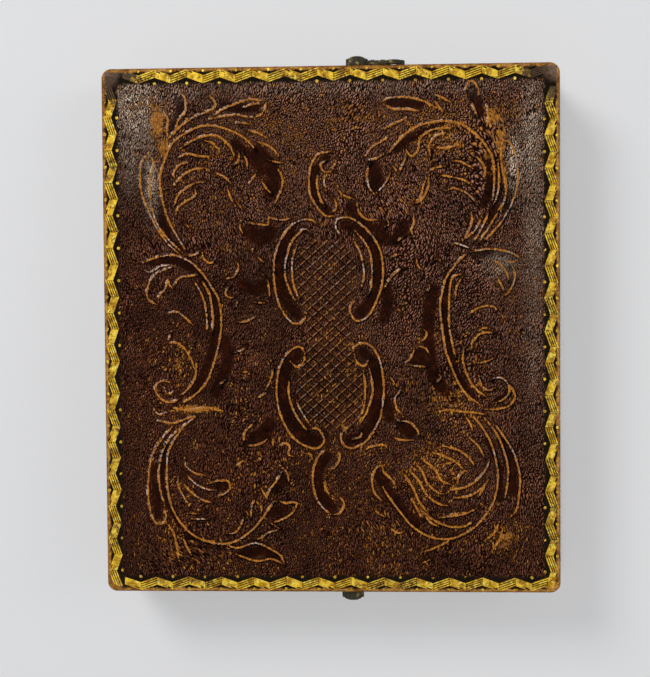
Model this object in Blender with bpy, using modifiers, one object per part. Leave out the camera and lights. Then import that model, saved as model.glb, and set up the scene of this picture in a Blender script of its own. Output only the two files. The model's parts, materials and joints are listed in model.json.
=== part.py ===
# Leather photograph case: a wooden tray that holds a plate, mat, glass and brass preserver,
# a pillowed leather cover on a leather hinge, and two brass swing hooks.
# Metres, +Z up, +Y towards the head of the case, hinge on the -X side, cover closed.

import math

import bmesh
import bpy
from mathutils import Matrix, Vector

# The picture packet: every outer size of the case follows from the plate
PLATE_WIDTH = 0.06985
PLATE_HEIGHT = 0.08255
PLATE_THICKNESS = 0.0005
PLATE_CORNER_CUT = 0.0012
MAT_THICKNESS = 0.0005
MAT_WINDOW_WIDTH = 0.0500
MAT_WINDOW_HEIGHT = 0.0620
GLASS_THICKNESS = 0.0014
GLASS_ARRIS = 0.00015
CARD_THICKNESS = 0.0005
PRESERVER_FOIL = 0.0002
PRESERVER_FACE = 0.0023
PRESERVER_FOLD = 0.0019
PRESERVER_CORNER = 0.0008

# Clearances
SEAT_GAP = 0.0003
PACKET_GAP = 0.0002
SEAM_GAP = 0.0003
HOOK_PLAY = 0.00015

# Wood and leather
LEATHER = 0.0005
RAIL_THICKNESS = 0.0036
TRAY_RAIL_HEIGHT = 0.0073
COVER_RAIL_HEIGHT = 0.0029
BASE_BOARD = 0.0020
BASE_ROUND = 0.0009
COVER_BOARD_EDGE = 0.0008
CASE_CORNER = 0.0018
RIM_ROUND = 0.00035

# The pillowed cover: a flat band for the gilt roll, then a shoulder up to a faint crown
COVER_EDGE_ROUND = 0.0008
BAND_WIDTH = 0.0042
SHOULDER_WIDTH = 0.0110
PILLOW_RISE = 0.0020
CROWN_RISE = 0.0002
CROWN_WIDTH = 0.0120
SHOULDER_EASE = 1.5
SHOULDER_CORNER_GROWTH_SHARE = 0.55

# Velvet pad in the cover and velvet strip in the tray
VELVET = 0.0009
VELVET_PROUD = 0.0005
CUSHION_EDGE_GAP = 0.0006
CUSHION_CROWN = 0.0029
CUSHION_DRAW = 0.0007
CUSHION_CORNER = 0.0030
# Inset and drop of each section, as shares of the half width and of the crown
CUSHION_SECTION_SHARES = (
    (0.36, 1.00), (0.22, 0.97), (0.11, 0.88), (0.04, 0.70), (0.0, 0.42), (0.012, 0.10), (0.035, 0.0),
)

# Leather hinge
HINGE_STANDOFF = 0.00015
SPINE_END_WRAP = 0.0056
LINING_LEATHER = 0.0004

# Swing hooks, which hang from the cover, and the pins they catch on the tray, right of the middle
HEAD_LATCH_OFFSET = 0.0050
FOOT_LATCH_OFFSET = 0.0037
CATCH_HEIGHT = 0.0071
PIN_SHANK_RADIUS = 0.0004
PIVOT_HEAD_RADIUS = 0.0013
CATCH_HEAD_RADIUS = 0.0009
PIN_HEAD_DOME = 0.0004
PIN_HEAD_EDGE_SHARE = 0.25
PIN_DEPTH = 0.0020
HOOK_STANDOFF = 0.00035
HOOK_THICKNESS = 0.0008
HOOK_EDGE_ROUND = 0.00008
HOOK_FOOT_RADIUS = 0.0015
HOOK_ARM_WIDTH = 0.0014
HOOK_EYE_RADIUS = 0.0015
HOOK_SLOT_PLAY = 0.00025
HOOK_TAB_WIDTH = 0.0012
HOOK_TAB_LENGTH = 0.0020
ROSETTE_RADIUS = 0.0020
ROSETTE_THICKNESS = 0.0013
ROSETTE_LOBE_SHARE = 0.14
HEAD_HOOK_OPEN_ANGLE = math.radians(90)

# Facet counts
CORNER_STEPS = 5
ROUND_STEPS = 16
WINDOW_STEPS = 56
SHOULDER_STEPS = 7
ROSETTE_LOBES = 8
LOBE_STEPS = 5
MERGE_DISTANCE = 0.000001
CUT_OVERRUN = 0.0010

# Sizes worked out from those above, from the plate outwards
packet_half_x = PLATE_WIDTH / 2
packet_half_y = PLATE_HEIGHT / 2
preserver_half_x = packet_half_x + PACKET_GAP + PRESERVER_FOIL
preserver_half_y = packet_half_y + PACKET_GAP + PRESERVER_FOIL
velvet_half_x = preserver_half_x + SEAT_GAP + VELVET
velvet_half_y = preserver_half_y + SEAT_GAP + VELVET
recess_half_x = velvet_half_x + SEAT_GAP
recess_half_y = velvet_half_y + SEAT_GAP
wood_half_x = recess_half_x + RAIL_THICKNESS
wood_half_y = recess_half_y + RAIL_THICKNESS
case_half_x = wood_half_x + SEAT_GAP + LEATHER
case_half_y = wood_half_y + SEAT_GAP + LEATHER
skin = SEAT_GAP + LEATHER
rim_width = skin + RAIL_THICKNESS

# Heights, from the table upwards
base_bottom = skin
base_top = base_bottom + BASE_BOARD
tray_rail_bottom = base_top + SEAT_GAP
tray_rail_top = tray_rail_bottom + TRAY_RAIL_HEIGHT
tray_rim = tray_rail_top + skin
hinge_height = tray_rim + SEAM_GAP / 2
cover_rim = tray_rim + SEAM_GAP
cover_rail_bottom = cover_rim + skin
cover_rail_top = cover_rail_bottom + COVER_RAIL_HEIGHT
cover_board_bottom = cover_rail_top + SEAT_GAP
cover_band_height = cover_board_bottom + COVER_BOARD_EDGE + skin
pivot_height = (cover_rail_bottom + cover_rail_top) / 2
hook_reach = pivot_height - CATCH_HEIGHT
hinge_x = -(case_half_x + HINGE_STANDOFF)


def clear_scene():
    for old in list(bpy.data.objects):
        bpy.data.objects.remove(old, do_unlink=True)


def new_collection(name):
    collection = bpy.data.collections.new(name)
    bpy.context.scene.collection.children.link(collection)
    return collection


def finish(name, colour, roughness, metallic=0.0, alpha=1.0):
    material = bpy.data.materials.new(name)
    material.use_nodes = True
    shader = material.node_tree.nodes["Principled BSDF"]
    shader.inputs["Base Color"].default_value = (*colour, 1.0)
    shader.inputs["Roughness"].default_value = roughness
    shader.inputs["Metallic"].default_value = metallic
    shader.inputs["Alpha"].default_value = alpha
    return material


def put(name, data, location=(0, 0, 0), material=None, parent=None, rotation=None, home=None):
    """Link data as an object at a place in the case's frame, under an empty where one is given."""
    item = bpy.data.objects.new(name, data)
    (home or parts).objects.link(item)
    item.location = location
    if rotation is not None:
        item.rotation_euler = rotation.to_euler()
    if material is not None:
        data.materials.append(material)
    if parent is not None:
        item.parent = parent
        item.matrix_parent_inverse = Matrix.Translation(-parent.location)
    return item


def put_empty(name, location):
    empty = bpy.data.objects.new(name, None)
    parts.objects.link(empty)
    empty.location = location
    return empty


def mesh_from(bm, name, smooth_angle=35):
    mesh = bpy.data.meshes.new(name)
    bm.to_mesh(mesh)
    bm.free()
    mesh.shade_smooth()
    mesh.set_sharp_from_angle(angle=math.radians(smooth_angle))
    return mesh


def hide_cutter(cutter):
    cutter.hide_render = True
    cutter.display_type = "WIRE"


def combine(item, other, operation):
    boolean = item.modifiers.new(operation.lower() + "_" + other.name, "BOOLEAN")
    boolean.operation = operation
    boolean.solver = "EXACT"
    boolean.object = other


def box(name, size, location, material, parent=None, bevel=0.0):
    bm = bmesh.new()
    bmesh.ops.create_cube(bm, size=1.0)
    bmesh.ops.scale(bm, vec=Vector(size), verts=bm.verts)
    item = put(name, mesh_from(bm, name), location, material, parent)
    if bevel > 0:
        rounding = item.modifiers.new("edges", "BEVEL")
        rounding.width = bevel
        rounding.segments = 1
    return item


def arc(centre, radius, start, end, steps):
    """Points on a circle from start to end, in radians, both ends included."""
    points = []
    for step in range(steps + 1):
        angle = start + (end - start) * step / steps
        points.append((centre[0] + radius * math.cos(angle), centre[1] + radius * math.sin(angle)))
    return points


def ring(half_x, half_y, corner, height, wrap=None, side_steps=1, draw=0.0):
    """A rounded rectangle seen from above, anticlockwise from its left foot corner.

    With wrap it stays open on the left side and runs that far round both left corners.
    With side_steps and draw each side has more points and bows inwards by draw.
    """
    points = []
    corners = ((-1, -1, 180), (1, -1, 270), (1, 1, 0), (-1, 1, 90))
    for sign_x, sign_y, start in corners:
        centre = (sign_x * (half_x - corner), sign_y * (half_y - corner))
        points += arc(centre, corner, math.radians(start), math.radians(start + 90), CORNER_STEPS)
    if wrap is not None:
        points.insert(0, (-half_x, wrap - case_half_y))
        points.append((-half_x, case_half_y - wrap))
    elif side_steps > 1:
        points = split_sides(points, side_steps, draw)
    return [Vector((x, y, height)) for x, y in points]


def split_sides(points, side_steps, draw):
    """Points added along the four straight sides, drawn in towards the middle of each side."""
    result = []
    per_corner = CORNER_STEPS + 1
    for index, point in enumerate(points):
        result.append(point)
        if index % per_corner != per_corner - 1:
            continue
        start = Vector(point)
        end = Vector(points[(index + 1) % len(points)])
        along = (end - start).normalized()
        inward = Vector((-along.y, along.x))
        for step in range(1, side_steps):
            share = step / side_steps
            bow = draw * math.sin(math.pi * share)
            place = start.lerp(end, share) + inward * bow
            result.append((place.x, place.y))
    return result


def loft(rings, closed=True, cap_start=False, cap_end=False, join_ends=False):
    """Quads between rings that run upwards or outwards, with caps at the first and last.

    Open rings whose last joins the first make a bar, which is capped at both of its ends.
    """
    bm = bmesh.new()
    rows = [[bm.verts.new(point) for point in points] for points in rings]
    pairs = list(zip(rows, rows[1:]))
    if join_ends:
        pairs.append((rows[-1], rows[0]))
    for low, high in pairs:
        count = len(low) if closed else len(low) - 1
        for index in range(count):
            after = (index + 1) % len(low)
            bm.faces.new((low[index], low[after], high[after], high[index]))
    if cap_start:
        bm.faces.new(list(reversed(rows[0])))
    if cap_end:
        bm.faces.new(rows[-1])
    if join_ends and not closed:
        bm.faces.new([row[0] for row in rows])
        bm.faces.new([row[-1] for row in reversed(rows)])
    return bm


def thicken(item, thickness):
    wall = item.modifiers.new("thickness", "SOLIDIFY")
    wall.thickness = thickness
    wall.offset = -1.0
    wall.use_even_offset = True
    return wall


def pillow_rings(outset, lowest):
    """Rings of the cover's outer surface, or of a parallel one set in by outset."""
    top = cover_band_height - outset
    edge_round = max(COVER_EDGE_ROUND - outset, COVER_EDGE_ROUND / 4)
    places = [(outset, lowest)]
    for inset, height in arc((outset + edge_round, top - edge_round), edge_round,
                             math.pi, math.pi / 2, 3):
        places.append((inset, height))
    places.append((BAND_WIDTH, top))
    for step in range(1, SHOULDER_STEPS + 1):
        share = step / SHOULDER_STEPS
        rise = PILLOW_RISE * math.sin(share * math.pi / 2) ** SHOULDER_EASE
        places.append((BAND_WIDTH + SHOULDER_WIDTH * share, top + rise))
    places.append((BAND_WIDTH + SHOULDER_WIDTH + CROWN_WIDTH, top + PILLOW_RISE + CROWN_RISE))
    rings = []
    for inset, height in places:
        corner = max(CASE_CORNER - inset, CASE_CORNER / 3)
        corner += max(inset - BAND_WIDTH, 0) * SHOULDER_CORNER_GROWTH_SHARE
        rings.append(ring(case_half_x - inset, case_half_y - inset, corner, height))
    return rings


def make_cover_board():
    rings = pillow_rings(skin, cover_board_bottom)
    bm = loft(rings, cap_start=True, cap_end=True)
    return put("cover_board", mesh_from(bm, "cover_board"), material=pine, parent=cover_hinge)


def make_cover_top_leather():
    rings = pillow_rings(0, cover_board_bottom)
    bm = loft(rings, cap_end=True)
    item = put("cover_top_leather", mesh_from(bm, "cover_top_leather"), material=brown_leather,
               parent=cover_hinge)
    thicken(item, LEATHER)
    return item


def make_tray_back_leather():
    """A shallow pan: the flat back, its rounded edge and a low wall."""
    rings = []
    for inset, height in arc((BASE_ROUND, BASE_ROUND), BASE_ROUND, math.pi * 1.5, math.pi, 4):
        corner = max(CASE_CORNER - inset, CASE_CORNER / 3)
        rings.append(ring(case_half_x - inset, case_half_y - inset, corner, height))
    rings.append(ring(case_half_x, case_half_y, CASE_CORNER, base_top))
    bm = loft(rings, cap_start=True)
    item = put("tray_back_leather", mesh_from(bm, "tray_back_leather"), material=brown_leather)
    thicken(item, LEATHER)
    return item


def make_side_leather(name, low, high, rim_at_top, parent):
    """A strip round three sides and both left corners, turned in over the wooden rim."""
    section = [(0, low), (0, high - RIM_ROUND)]
    section += arc((RIM_ROUND, high - RIM_ROUND), RIM_ROUND, math.pi, math.pi / 2, 3)[1:]
    section += [(rim_width, high), (rim_width, high - LEATHER)]
    section += [(LEATHER, high - LEATHER), (LEATHER, low)]
    if not rim_at_top:
        section = [(inset, low + high - height) for inset, height in reversed(section)]
    rings = []
    for inset, height in section:
        corner = max(CASE_CORNER - inset, CASE_CORNER / 3)
        rings.append(ring(case_half_x - inset, case_half_y - inset, corner, height, wrap=SPINE_END_WRAP))
    bm = loft(rings, closed=False, join_ends=True)
    return put(name, mesh_from(bm, name), material=brown_leather, parent=parent)


def mitred_rail(name, half_length, height, centre, turn, parent):
    """A rail whose outer face is towards its own -Y, its ends cut back at 45 degrees."""
    bm = bmesh.new()
    bmesh.ops.create_cube(bm, size=1.0)
    half = half_length - SEAT_GAP / math.sqrt(2)
    bmesh.ops.scale(bm, vec=Vector((half * 2, RAIL_THICKNESS, height)), verts=bm.verts)
    for vert in bm.verts:
        if vert.co.y > 0:
            vert.co.x -= math.copysign(RAIL_THICKNESS, vert.co.x)
    rotation = Matrix.Rotation(math.radians(turn), 3, "Z")
    return put(name, mesh_from(bm, name), centre, pine, parent, rotation)


def make_rails(half_name, bottom, height, parent):
    middle_x = (recess_half_x + wood_half_x) / 2
    middle_y = (recess_half_y + wood_half_y) / 2
    level = bottom + height / 2
    places = (
        ("foot", wood_half_x, (0, -middle_y, level), 0),
        ("right", wood_half_y, (middle_x, 0, level), 90),
        ("head", wood_half_x, (0, middle_y, level), 180),
        ("left", wood_half_y, (-middle_x, 0, level), 270),
    )
    rails = {}
    for side, half_length, centre, turn in places:
        name = half_name + "_rail_" + side
        rails[side] = mitred_rail(name, half_length, height, centre, turn, parent)
    return rails


def make_base_board():
    size = (wood_half_x * 2, wood_half_y * 2, BASE_BOARD)
    board = box("tray_base_board", size, (0, 0, (base_bottom + base_top) / 2), pine)
    rounding = board.modifiers.new("corners", "BEVEL")
    rounding.width = CASE_CORNER
    rounding.segments = 3
    rounding.limit_method = "WEIGHT"
    weights = board.data.attributes.new("bevel_weight_edge", "FLOAT", "EDGE")
    for edge in board.data.edges:
        ends = [board.data.vertices[index].co for index in edge.vertices]
        weights.data[edge.index].value = 1.0 if abs(ends[0].z - ends[1].z) > BASE_BOARD / 2 else 0.0
    return board


def make_packet():
    """Card, plate, mat and glass from the back to the front, and the brass fold round them."""
    level = base_top + SEAT_GAP
    size = (PLATE_WIDTH, PLATE_HEIGHT)
    box("packing_card", (*size, CARD_THICKNESS), (0, 0, level + CARD_THICKNESS / 2), buff_card)
    level += CARD_THICKNESS + SEAT_GAP
    fold_bottom = level
    level += PRESERVER_FOIL + PACKET_GAP
    make_plate(level)
    level += PLATE_THICKNESS + PACKET_GAP
    make_mat(level)
    level += MAT_THICKNESS + PACKET_GAP
    box("cover_glass", (*size, GLASS_THICKNESS), (0, 0, level + GLASS_THICKNESS / 2), clear_glass,
        bevel=GLASS_ARRIS)
    level += GLASS_THICKNESS + PACKET_GAP
    make_preserver(fold_bottom, level + PRESERVER_FOIL)


def make_plate(bottom):
    bm = bmesh.new()
    bmesh.ops.create_cube(bm, size=1.0)
    bmesh.ops.scale(bm, vec=Vector((PLATE_WIDTH, PLATE_HEIGHT, PLATE_THICKNESS)), verts=bm.verts)
    upright = [e for e in bm.edges if abs(e.verts[0].co.z - e.verts[1].co.z) > PLATE_THICKNESS / 2]
    bmesh.ops.bevel(bm, geom=upright, offset=PLATE_CORNER_CUT, segments=1, affect="EDGES")
    middle = (0, 0, bottom + PLATE_THICKNESS / 2)
    return put("silvered_plate", mesh_from(bm, "silvered_plate"), middle, silver)


def make_mat(bottom):
    outer = [(-packet_half_x, -packet_half_y), (packet_half_x, -packet_half_y),
             (packet_half_x, packet_half_y), (-packet_half_x, packet_half_y)]
    window = []
    for x, y in arc((0, 0), 1, 0, math.tau, WINDOW_STEPS)[:-1]:
        window.append((x * MAT_WINDOW_WIDTH / 2, y * MAT_WINDOW_HEIGHT / 2))
    curve = flat_curve("brass_mat", [outer, window], MAT_THICKNESS, 0.0)
    return put("brass_mat", curve, (0, 0, bottom + MAT_THICKNESS / 2), mat_brass)


def make_preserver(low, high):
    """Thin brass folded from the back, round the packet's edge, onto the glass."""
    places = ((PRESERVER_FOLD, low), (0, low), (0, high), (PRESERVER_FACE, high))
    rings = []
    for inset, height in places:
        corner = max(PRESERVER_CORNER - inset, PRESERVER_CORNER / 3)
        rings.append(ring(preserver_half_x - inset, preserver_half_y - inset, corner, height))
    item = put("preserver_frame", mesh_from(loft(rings), "preserver_frame"), material=preserver_brass)
    thicken(item, PRESERVER_FOIL)
    return item


def make_velvet_retainer():
    """A strip on edge all round the packet, with a rounded top just proud of the rim."""
    low = base_top + SEAT_GAP
    high = tray_rim + VELVET_PROUD
    half = VELVET / 2
    section = [(VELVET, low), (0, low)]
    section += arc((half, high - half), half, math.pi, 0, 6)
    rings = []
    for inset, height in section:
        corner = max(PRESERVER_CORNER + SEAT_GAP + VELVET - inset, PRESERVER_CORNER / 3)
        rings.append(ring(velvet_half_x - inset, velvet_half_y - inset, corner, height))
    bm = loft(rings, join_ends=True)
    return put("velvet_retainer", mesh_from(bm, "velvet_retainer"), material=red_velvet)


def make_cushion():
    """A card under the cover board, and a velvet pad that swells down from it."""
    half_x = recess_half_x - CUSHION_EDGE_GAP
    half_y = recess_half_y - CUSHION_EDGE_GAP
    card_top = cover_board_bottom - SEAT_GAP
    size = (half_x * 2, half_y * 2, CARD_THICKNESS)
    box("cushion_card", size, (0, 0, card_top - CARD_THICKNESS / 2), buff_card, cover_hinge)
    pad_top = card_top - CARD_THICKNESS - SEAT_GAP
    rings = []
    for inset_share, drop_share in CUSHION_SECTION_SHARES:
        inset = inset_share * half_x
        corner = CUSHION_CORNER + inset * SHOULDER_CORNER_GROWTH_SHARE
        draw = CUSHION_DRAW * (1 - inset_share)
        level = pad_top - CUSHION_CROWN * drop_share
        rings.append(ring(half_x - inset, half_y - inset, corner, level, side_steps=4, draw=draw))
    bm = loft(rings, cap_start=True, cap_end=True)
    return put("cushion_pad", mesh_from(bm, "cushion_pad", 80), material=red_velvet, parent=cover_hinge)


def make_spine_leather():
    """The outer hinge: a strip of leather let in flush between the side strips' ends."""
    size = (LEATHER, (case_half_y - SPINE_END_WRAP - SEAT_GAP) * 2, cover_rail_top - tray_rail_bottom)
    middle = (-case_half_x + LEATHER / 2, 0, (cover_rail_top + tray_rail_bottom) / 2)
    return box("spine_leather", size, middle, brown_leather)


def make_hinge_lining():
    """The inner hinge: a strip glued to both left rails and folded between them."""
    half_length = case_half_y - SPINE_END_WRAP - SEAT_GAP
    low = tray_rail_top + SEAT_GAP
    high = cover_rail_bottom - SEAT_GAP
    radius = (high - low) / 2
    fold_x = -wood_half_x + radius
    section = [(-recess_half_x - SEAT_GAP, low)]
    section += arc((fold_x, (low + high) / 2), radius, math.pi * 1.5, math.pi / 2, 8)
    section.append((-recess_half_x - SEAT_GAP, high))
    rows = []
    for x, height in section:
        rows.append([Vector((x, -half_length, height)), Vector((x, half_length, height))])
    bm = loft(rows, closed=False)
    bmesh.ops.reverse_faces(bm, faces=bm.faces)
    item = put("hinge_lining", mesh_from(bm, "hinge_lining"), material=brown_leather)
    thicken(item, LINING_LEATHER)
    return item


def flat_curve(name, outlines, thickness, edge_round):
    """A flat outline, the first one outer and the rest windows, drawn out to its thickness."""
    curve = bpy.data.curves.new(name, "CURVE")
    curve.dimensions = "2D"
    curve.fill_mode = "BOTH"
    curve.extrude = thickness / 2 - edge_round
    curve.bevel_depth = edge_round
    curve.bevel_resolution = 0
    curve.offset = -edge_round
    for outline in outlines:
        spline = curve.splines.new("POLY")
        spline.points.add(len(outline) - 1)
        for point, (x, y) in zip(spline.points, outline):
            point.co = (x, y, 0, 1)
        spline.use_cyclic_u = True
    return curve


def mesh_object(name, curve, lift):
    """The curve as a closed mesh, raised by lift along its own Z."""
    maker = bpy.data.objects.new(name + "_outline", curve)
    parts.objects.link(maker)
    graph = bpy.context.evaluated_depsgraph_get()
    mesh = bpy.data.meshes.new_from_object(maker.evaluated_get(graph))
    bm = bmesh.new()
    bm.from_mesh(mesh)
    bmesh.ops.remove_doubles(bm, verts=bm.verts, dist=MERGE_DISTANCE)
    bmesh.ops.translate(bm, vec=Vector((0, 0, lift)), verts=bm.verts)
    bm.to_mesh(mesh)
    bm.free()
    bpy.data.objects.remove(maker, do_unlink=True)
    mesh.name = name
    return mesh


def hook_outline():
    """The hook hanging from its pivot at zero, its slot open to the left.

    The slot's two walls are arcs about the pivot, so the catch pin runs in along them.
    """
    arm = HOOK_ARM_WIDTH / 2
    tab = HOOK_TAB_WIDTH / 2
    slot = PIN_SHANK_RADIUS + HOOK_SLOT_PLAY
    eye_centre = (0, hook_reach)
    foot_join = math.asin(arm / HOOK_FOOT_RADIUS)
    eye_join = math.asin(arm / HOOK_EYE_RADIUS)
    tab_join = math.asin(tab / HOOK_EYE_RADIUS)
    quarter = math.pi / 2

    def mouth(radius):
        rise = (radius ** 2 - HOOK_EYE_RADIUS ** 2 - hook_reach ** 2) / (2 * hook_reach * HOOK_EYE_RADIUS)
        on_eye = math.pi - math.asin(rise)
        about_pivot = quarter + math.asin(-HOOK_EYE_RADIUS * math.cos(on_eye) / radius)
        return on_eye, about_pivot

    upper, lower = hook_reach + slot, hook_reach - slot
    upper_on_eye, upper_about_pivot = mouth(upper)
    lower_on_eye, lower_about_pivot = mouth(lower)
    tab_end = (0, hook_reach + HOOK_TAB_LENGTH - tab)
    points = arc((0, 0), HOOK_FOOT_RADIUS, quarter + foot_join, 5 * quarter - foot_join, 14)
    points += arc(eye_centre, HOOK_EYE_RADIUS, eye_join - quarter, quarter - tab_join, 8)
    points += arc(tab_end, tab, 0, math.pi, 6)
    points += arc(eye_centre, HOOK_EYE_RADIUS, quarter + tab_join, upper_on_eye, 4)
    points += arc((0, 0), upper, upper_about_pivot, quarter, 4)[1:]
    points += arc(eye_centre, slot, quarter, -quarter, 7)[1:]
    points += arc((0, 0), lower, quarter, lower_about_pivot, 4)[1:]
    points += arc(eye_centre, HOOK_EYE_RADIUS, lower_on_eye, 3 * quarter - eye_join, 4)[1:]
    return [(x, -y) for x, y in reversed(points)]


def rosette_outline():
    points = []
    count = ROSETTE_LOBES * LOBE_STEPS
    for x, y in arc((0, 0), ROSETTE_RADIUS, 0, math.tau, count)[:-1]:
        petal = (1 - math.cos(math.atan2(y, x) * ROSETTE_LOBES)) / 2
        share = 1 - ROSETTE_LOBE_SHARE * petal
        points.append((x * share, y * share))
    return points


def facing(side):
    """Turns a piece drawn flat, seen from outside, to stand on the head or the foot side."""
    upright = Matrix.Rotation(math.radians(90), 3, "X")
    if side == "head":
        return Matrix.Rotation(math.radians(180), 3, "Z") @ upright
    return upright


def side_place(side, height):
    if side == "head":
        return (HEAD_LATCH_OFFSET, case_half_y, height)
    return (FOOT_LATCH_OFFSET, -case_half_y, height)


def make_hook(side, open_angle):
    """A swing hook with a lobed boss, its origin on its pivot, swung towards +X by open_angle."""
    name = "hook_" + side
    outline = hook_outline()
    if side == "head":
        outline = [(-x, y) for x, y in reversed(outline)]
    plate = flat_curve(name, [outline], HOOK_THICKNESS, HOOK_EDGE_ROUND)
    mesh = mesh_object(name, plate, HOOK_STANDOFF + HOOK_THICKNESS / 2)
    turn = Matrix.Rotation(-open_angle, 3, "Y") @ facing(side)
    item = put(name, mesh, side_place(side, pivot_height), hook_brass, rotation=turn)
    rosette_curve = flat_curve(name + "_rosette", [rosette_outline()], ROSETTE_THICKNESS,
                               HOOK_EDGE_ROUND)
    rosette_mesh = mesh_object(name + "_rosette", rosette_curve, HOOK_PLAY + ROSETTE_THICKNESS / 2)
    rosette = put(name + "_rosette", rosette_mesh, item.location, rotation=turn, home=cutters)
    hide_cutter(rosette)
    combine(item, rosette, "UNION")
    radius = PIN_SHANK_RADIUS + HOOK_PLAY
    hole = round_cutter(name + "_hole", radius, HOOK_PLAY + ROSETTE_THICKNESS, item.location, side)
    combine(item, hole, "DIFFERENCE")
    return item


def round_cutter(name, radius, depth, location, side):
    """A cylinder that runs out of the case's side, by depth each way and a bit more."""
    bm = bmesh.new()
    reach = (depth + CUT_OVERRUN) * 2
    bmesh.ops.create_cone(bm, cap_ends=True, segments=ROUND_STEPS, radius1=radius, radius2=radius,
                          depth=reach)
    cutter = put(name, mesh_from(bm, name), location, rotation=facing(side), home=cutters)
    hide_cutter(cutter)
    return cutter


def make_pin(name, side, height, head_back, head_radius, carrier, skin_strip, parent):
    """A headed pin turned to size, in a blind hole through the leather into its rail."""
    profile = [(0, head_back + PIN_HEAD_DOME)]
    for step in range(1, 4):
        angle = math.radians(90) * step / 3
        radius = head_radius * math.sin(angle)
        rise_share = PIN_HEAD_EDGE_SHARE + (1 - PIN_HEAD_EDGE_SHARE) * math.cos(angle)
        profile.append((radius, head_back + PIN_HEAD_DOME * rise_share))
    profile += [(head_radius, head_back), (PIN_SHANK_RADIUS, head_back)]
    tip = -(skin + PIN_DEPTH)
    profile += [(PIN_SHANK_RADIUS, tip + PIN_SHANK_RADIUS), (PIN_SHANK_RADIUS / 2, tip), (0, tip)]
    mesh = bpy.data.meshes.new(name)
    mesh.from_pydata([(x, 0, z) for x, z in profile], [(i, i + 1) for i in range(len(profile) - 1)], [])
    place = side_place(side, height)
    pin = put(name, mesh, place, hook_brass, parent, facing(side))
    turn = pin.modifiers.new("turned", "SCREW")
    turn.steps = turn.render_steps = ROUND_STEPS
    turn.use_merge_vertices = True
    turn.merge_threshold = MERGE_DISTANCE
    turn.use_smooth_shade = True
    bore_radius = PIN_SHANK_RADIUS + SEAT_GAP
    bore = round_cutter(name + "_bore", bore_radius, skin + PIN_DEPTH + SEAT_GAP - CUT_OVERRUN, place, side)
    combine(carrier, bore, "DIFFERENCE")
    combine(skin_strip, bore, "DIFFERENCE")
    return pin


clear_scene()
parts = new_collection("leather_photograph_case")
cutters = new_collection("cutters")

brown_leather = finish("brown_leather", (0.055, 0.022, 0.012), 0.48)
pine = finish("pine", (0.50, 0.33, 0.18), 0.70)
buff_card = finish("buff_card", (0.52, 0.43, 0.30), 0.85)
silver = finish("silvered_copper", (0.62, 0.62, 0.64), 0.16, metallic=1.0)
mat_brass = finish("mat_brass", (0.72, 0.50, 0.20), 0.42, metallic=1.0)
preserver_brass = finish("preserver_brass", (0.78, 0.55, 0.22), 0.30, metallic=1.0)
clear_glass = finish("clear_glass", (0.92, 0.95, 0.93), 0.03, alpha=0.3)
red_velvet = finish("red_velvet", (0.23, 0.018, 0.022), 0.90)
hook_brass = finish("dark_brass", (0.30, 0.20, 0.09), 0.40, metallic=1.0)

cover_hinge = put_empty("cover_hinge", (hinge_x, 0, hinge_height))

make_tray_back_leather()
make_base_board()
tray_rails = make_rails("tray", tray_rail_bottom, TRAY_RAIL_HEIGHT, None)
tray_strip = make_side_leather("tray_side_leather", tray_rail_bottom, tray_rim, True, None)
make_packet()
make_velvet_retainer()
make_spine_leather()
make_hinge_lining()

make_cover_board()
make_cover_top_leather()
cover_rails = make_rails("cover", cover_rail_bottom, COVER_RAIL_HEIGHT, cover_hinge)
cover_strip = make_side_leather("cover_side_leather", cover_rim, cover_rail_top, False, cover_hinge)
make_cushion()

pivot_head_back = ROSETTE_THICKNESS + HOOK_PLAY * 2
catch_head_back = HOOK_STANDOFF + HOOK_THICKNESS + HOOK_PLAY
for side, open_angle in (("head", HEAD_HOOK_OPEN_ANGLE), ("foot", 0.0)):
    make_hook(side, open_angle)
    make_pin("hook_pivot_" + side, side, pivot_height, pivot_head_back, PIVOT_HEAD_RADIUS,
             cover_rails[side], cover_strip, cover_hinge)
    make_pin("catch_pin_" + side, side, CATCH_HEIGHT, catch_head_back, CATCH_HEAD_RADIUS,
             tray_rails[side], tray_strip, None)
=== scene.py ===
# Leather photograph case: the finish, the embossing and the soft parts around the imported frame.
import json
import math
import random

import bmesh
import bpy
import numpy as np
from mathutils import Matrix, Vector


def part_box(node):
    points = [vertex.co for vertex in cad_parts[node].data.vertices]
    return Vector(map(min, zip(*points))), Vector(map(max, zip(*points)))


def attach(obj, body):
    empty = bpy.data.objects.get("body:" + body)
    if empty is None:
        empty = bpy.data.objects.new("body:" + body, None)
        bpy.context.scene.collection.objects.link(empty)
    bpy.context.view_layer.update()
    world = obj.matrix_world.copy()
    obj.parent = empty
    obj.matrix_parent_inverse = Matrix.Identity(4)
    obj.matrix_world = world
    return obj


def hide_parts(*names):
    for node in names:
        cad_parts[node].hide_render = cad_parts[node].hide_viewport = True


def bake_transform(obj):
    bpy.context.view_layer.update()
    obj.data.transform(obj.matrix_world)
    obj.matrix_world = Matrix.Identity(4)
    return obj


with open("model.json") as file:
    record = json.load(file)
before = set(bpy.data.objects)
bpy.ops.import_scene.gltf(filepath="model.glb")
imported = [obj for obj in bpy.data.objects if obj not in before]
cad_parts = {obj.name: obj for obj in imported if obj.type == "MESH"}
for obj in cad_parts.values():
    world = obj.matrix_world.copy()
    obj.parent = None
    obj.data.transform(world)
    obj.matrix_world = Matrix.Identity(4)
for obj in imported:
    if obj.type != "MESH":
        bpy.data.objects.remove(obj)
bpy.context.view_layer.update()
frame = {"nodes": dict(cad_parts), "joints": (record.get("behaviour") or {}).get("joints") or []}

nodes = frame["nodes"]
mm = 0.001

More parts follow.
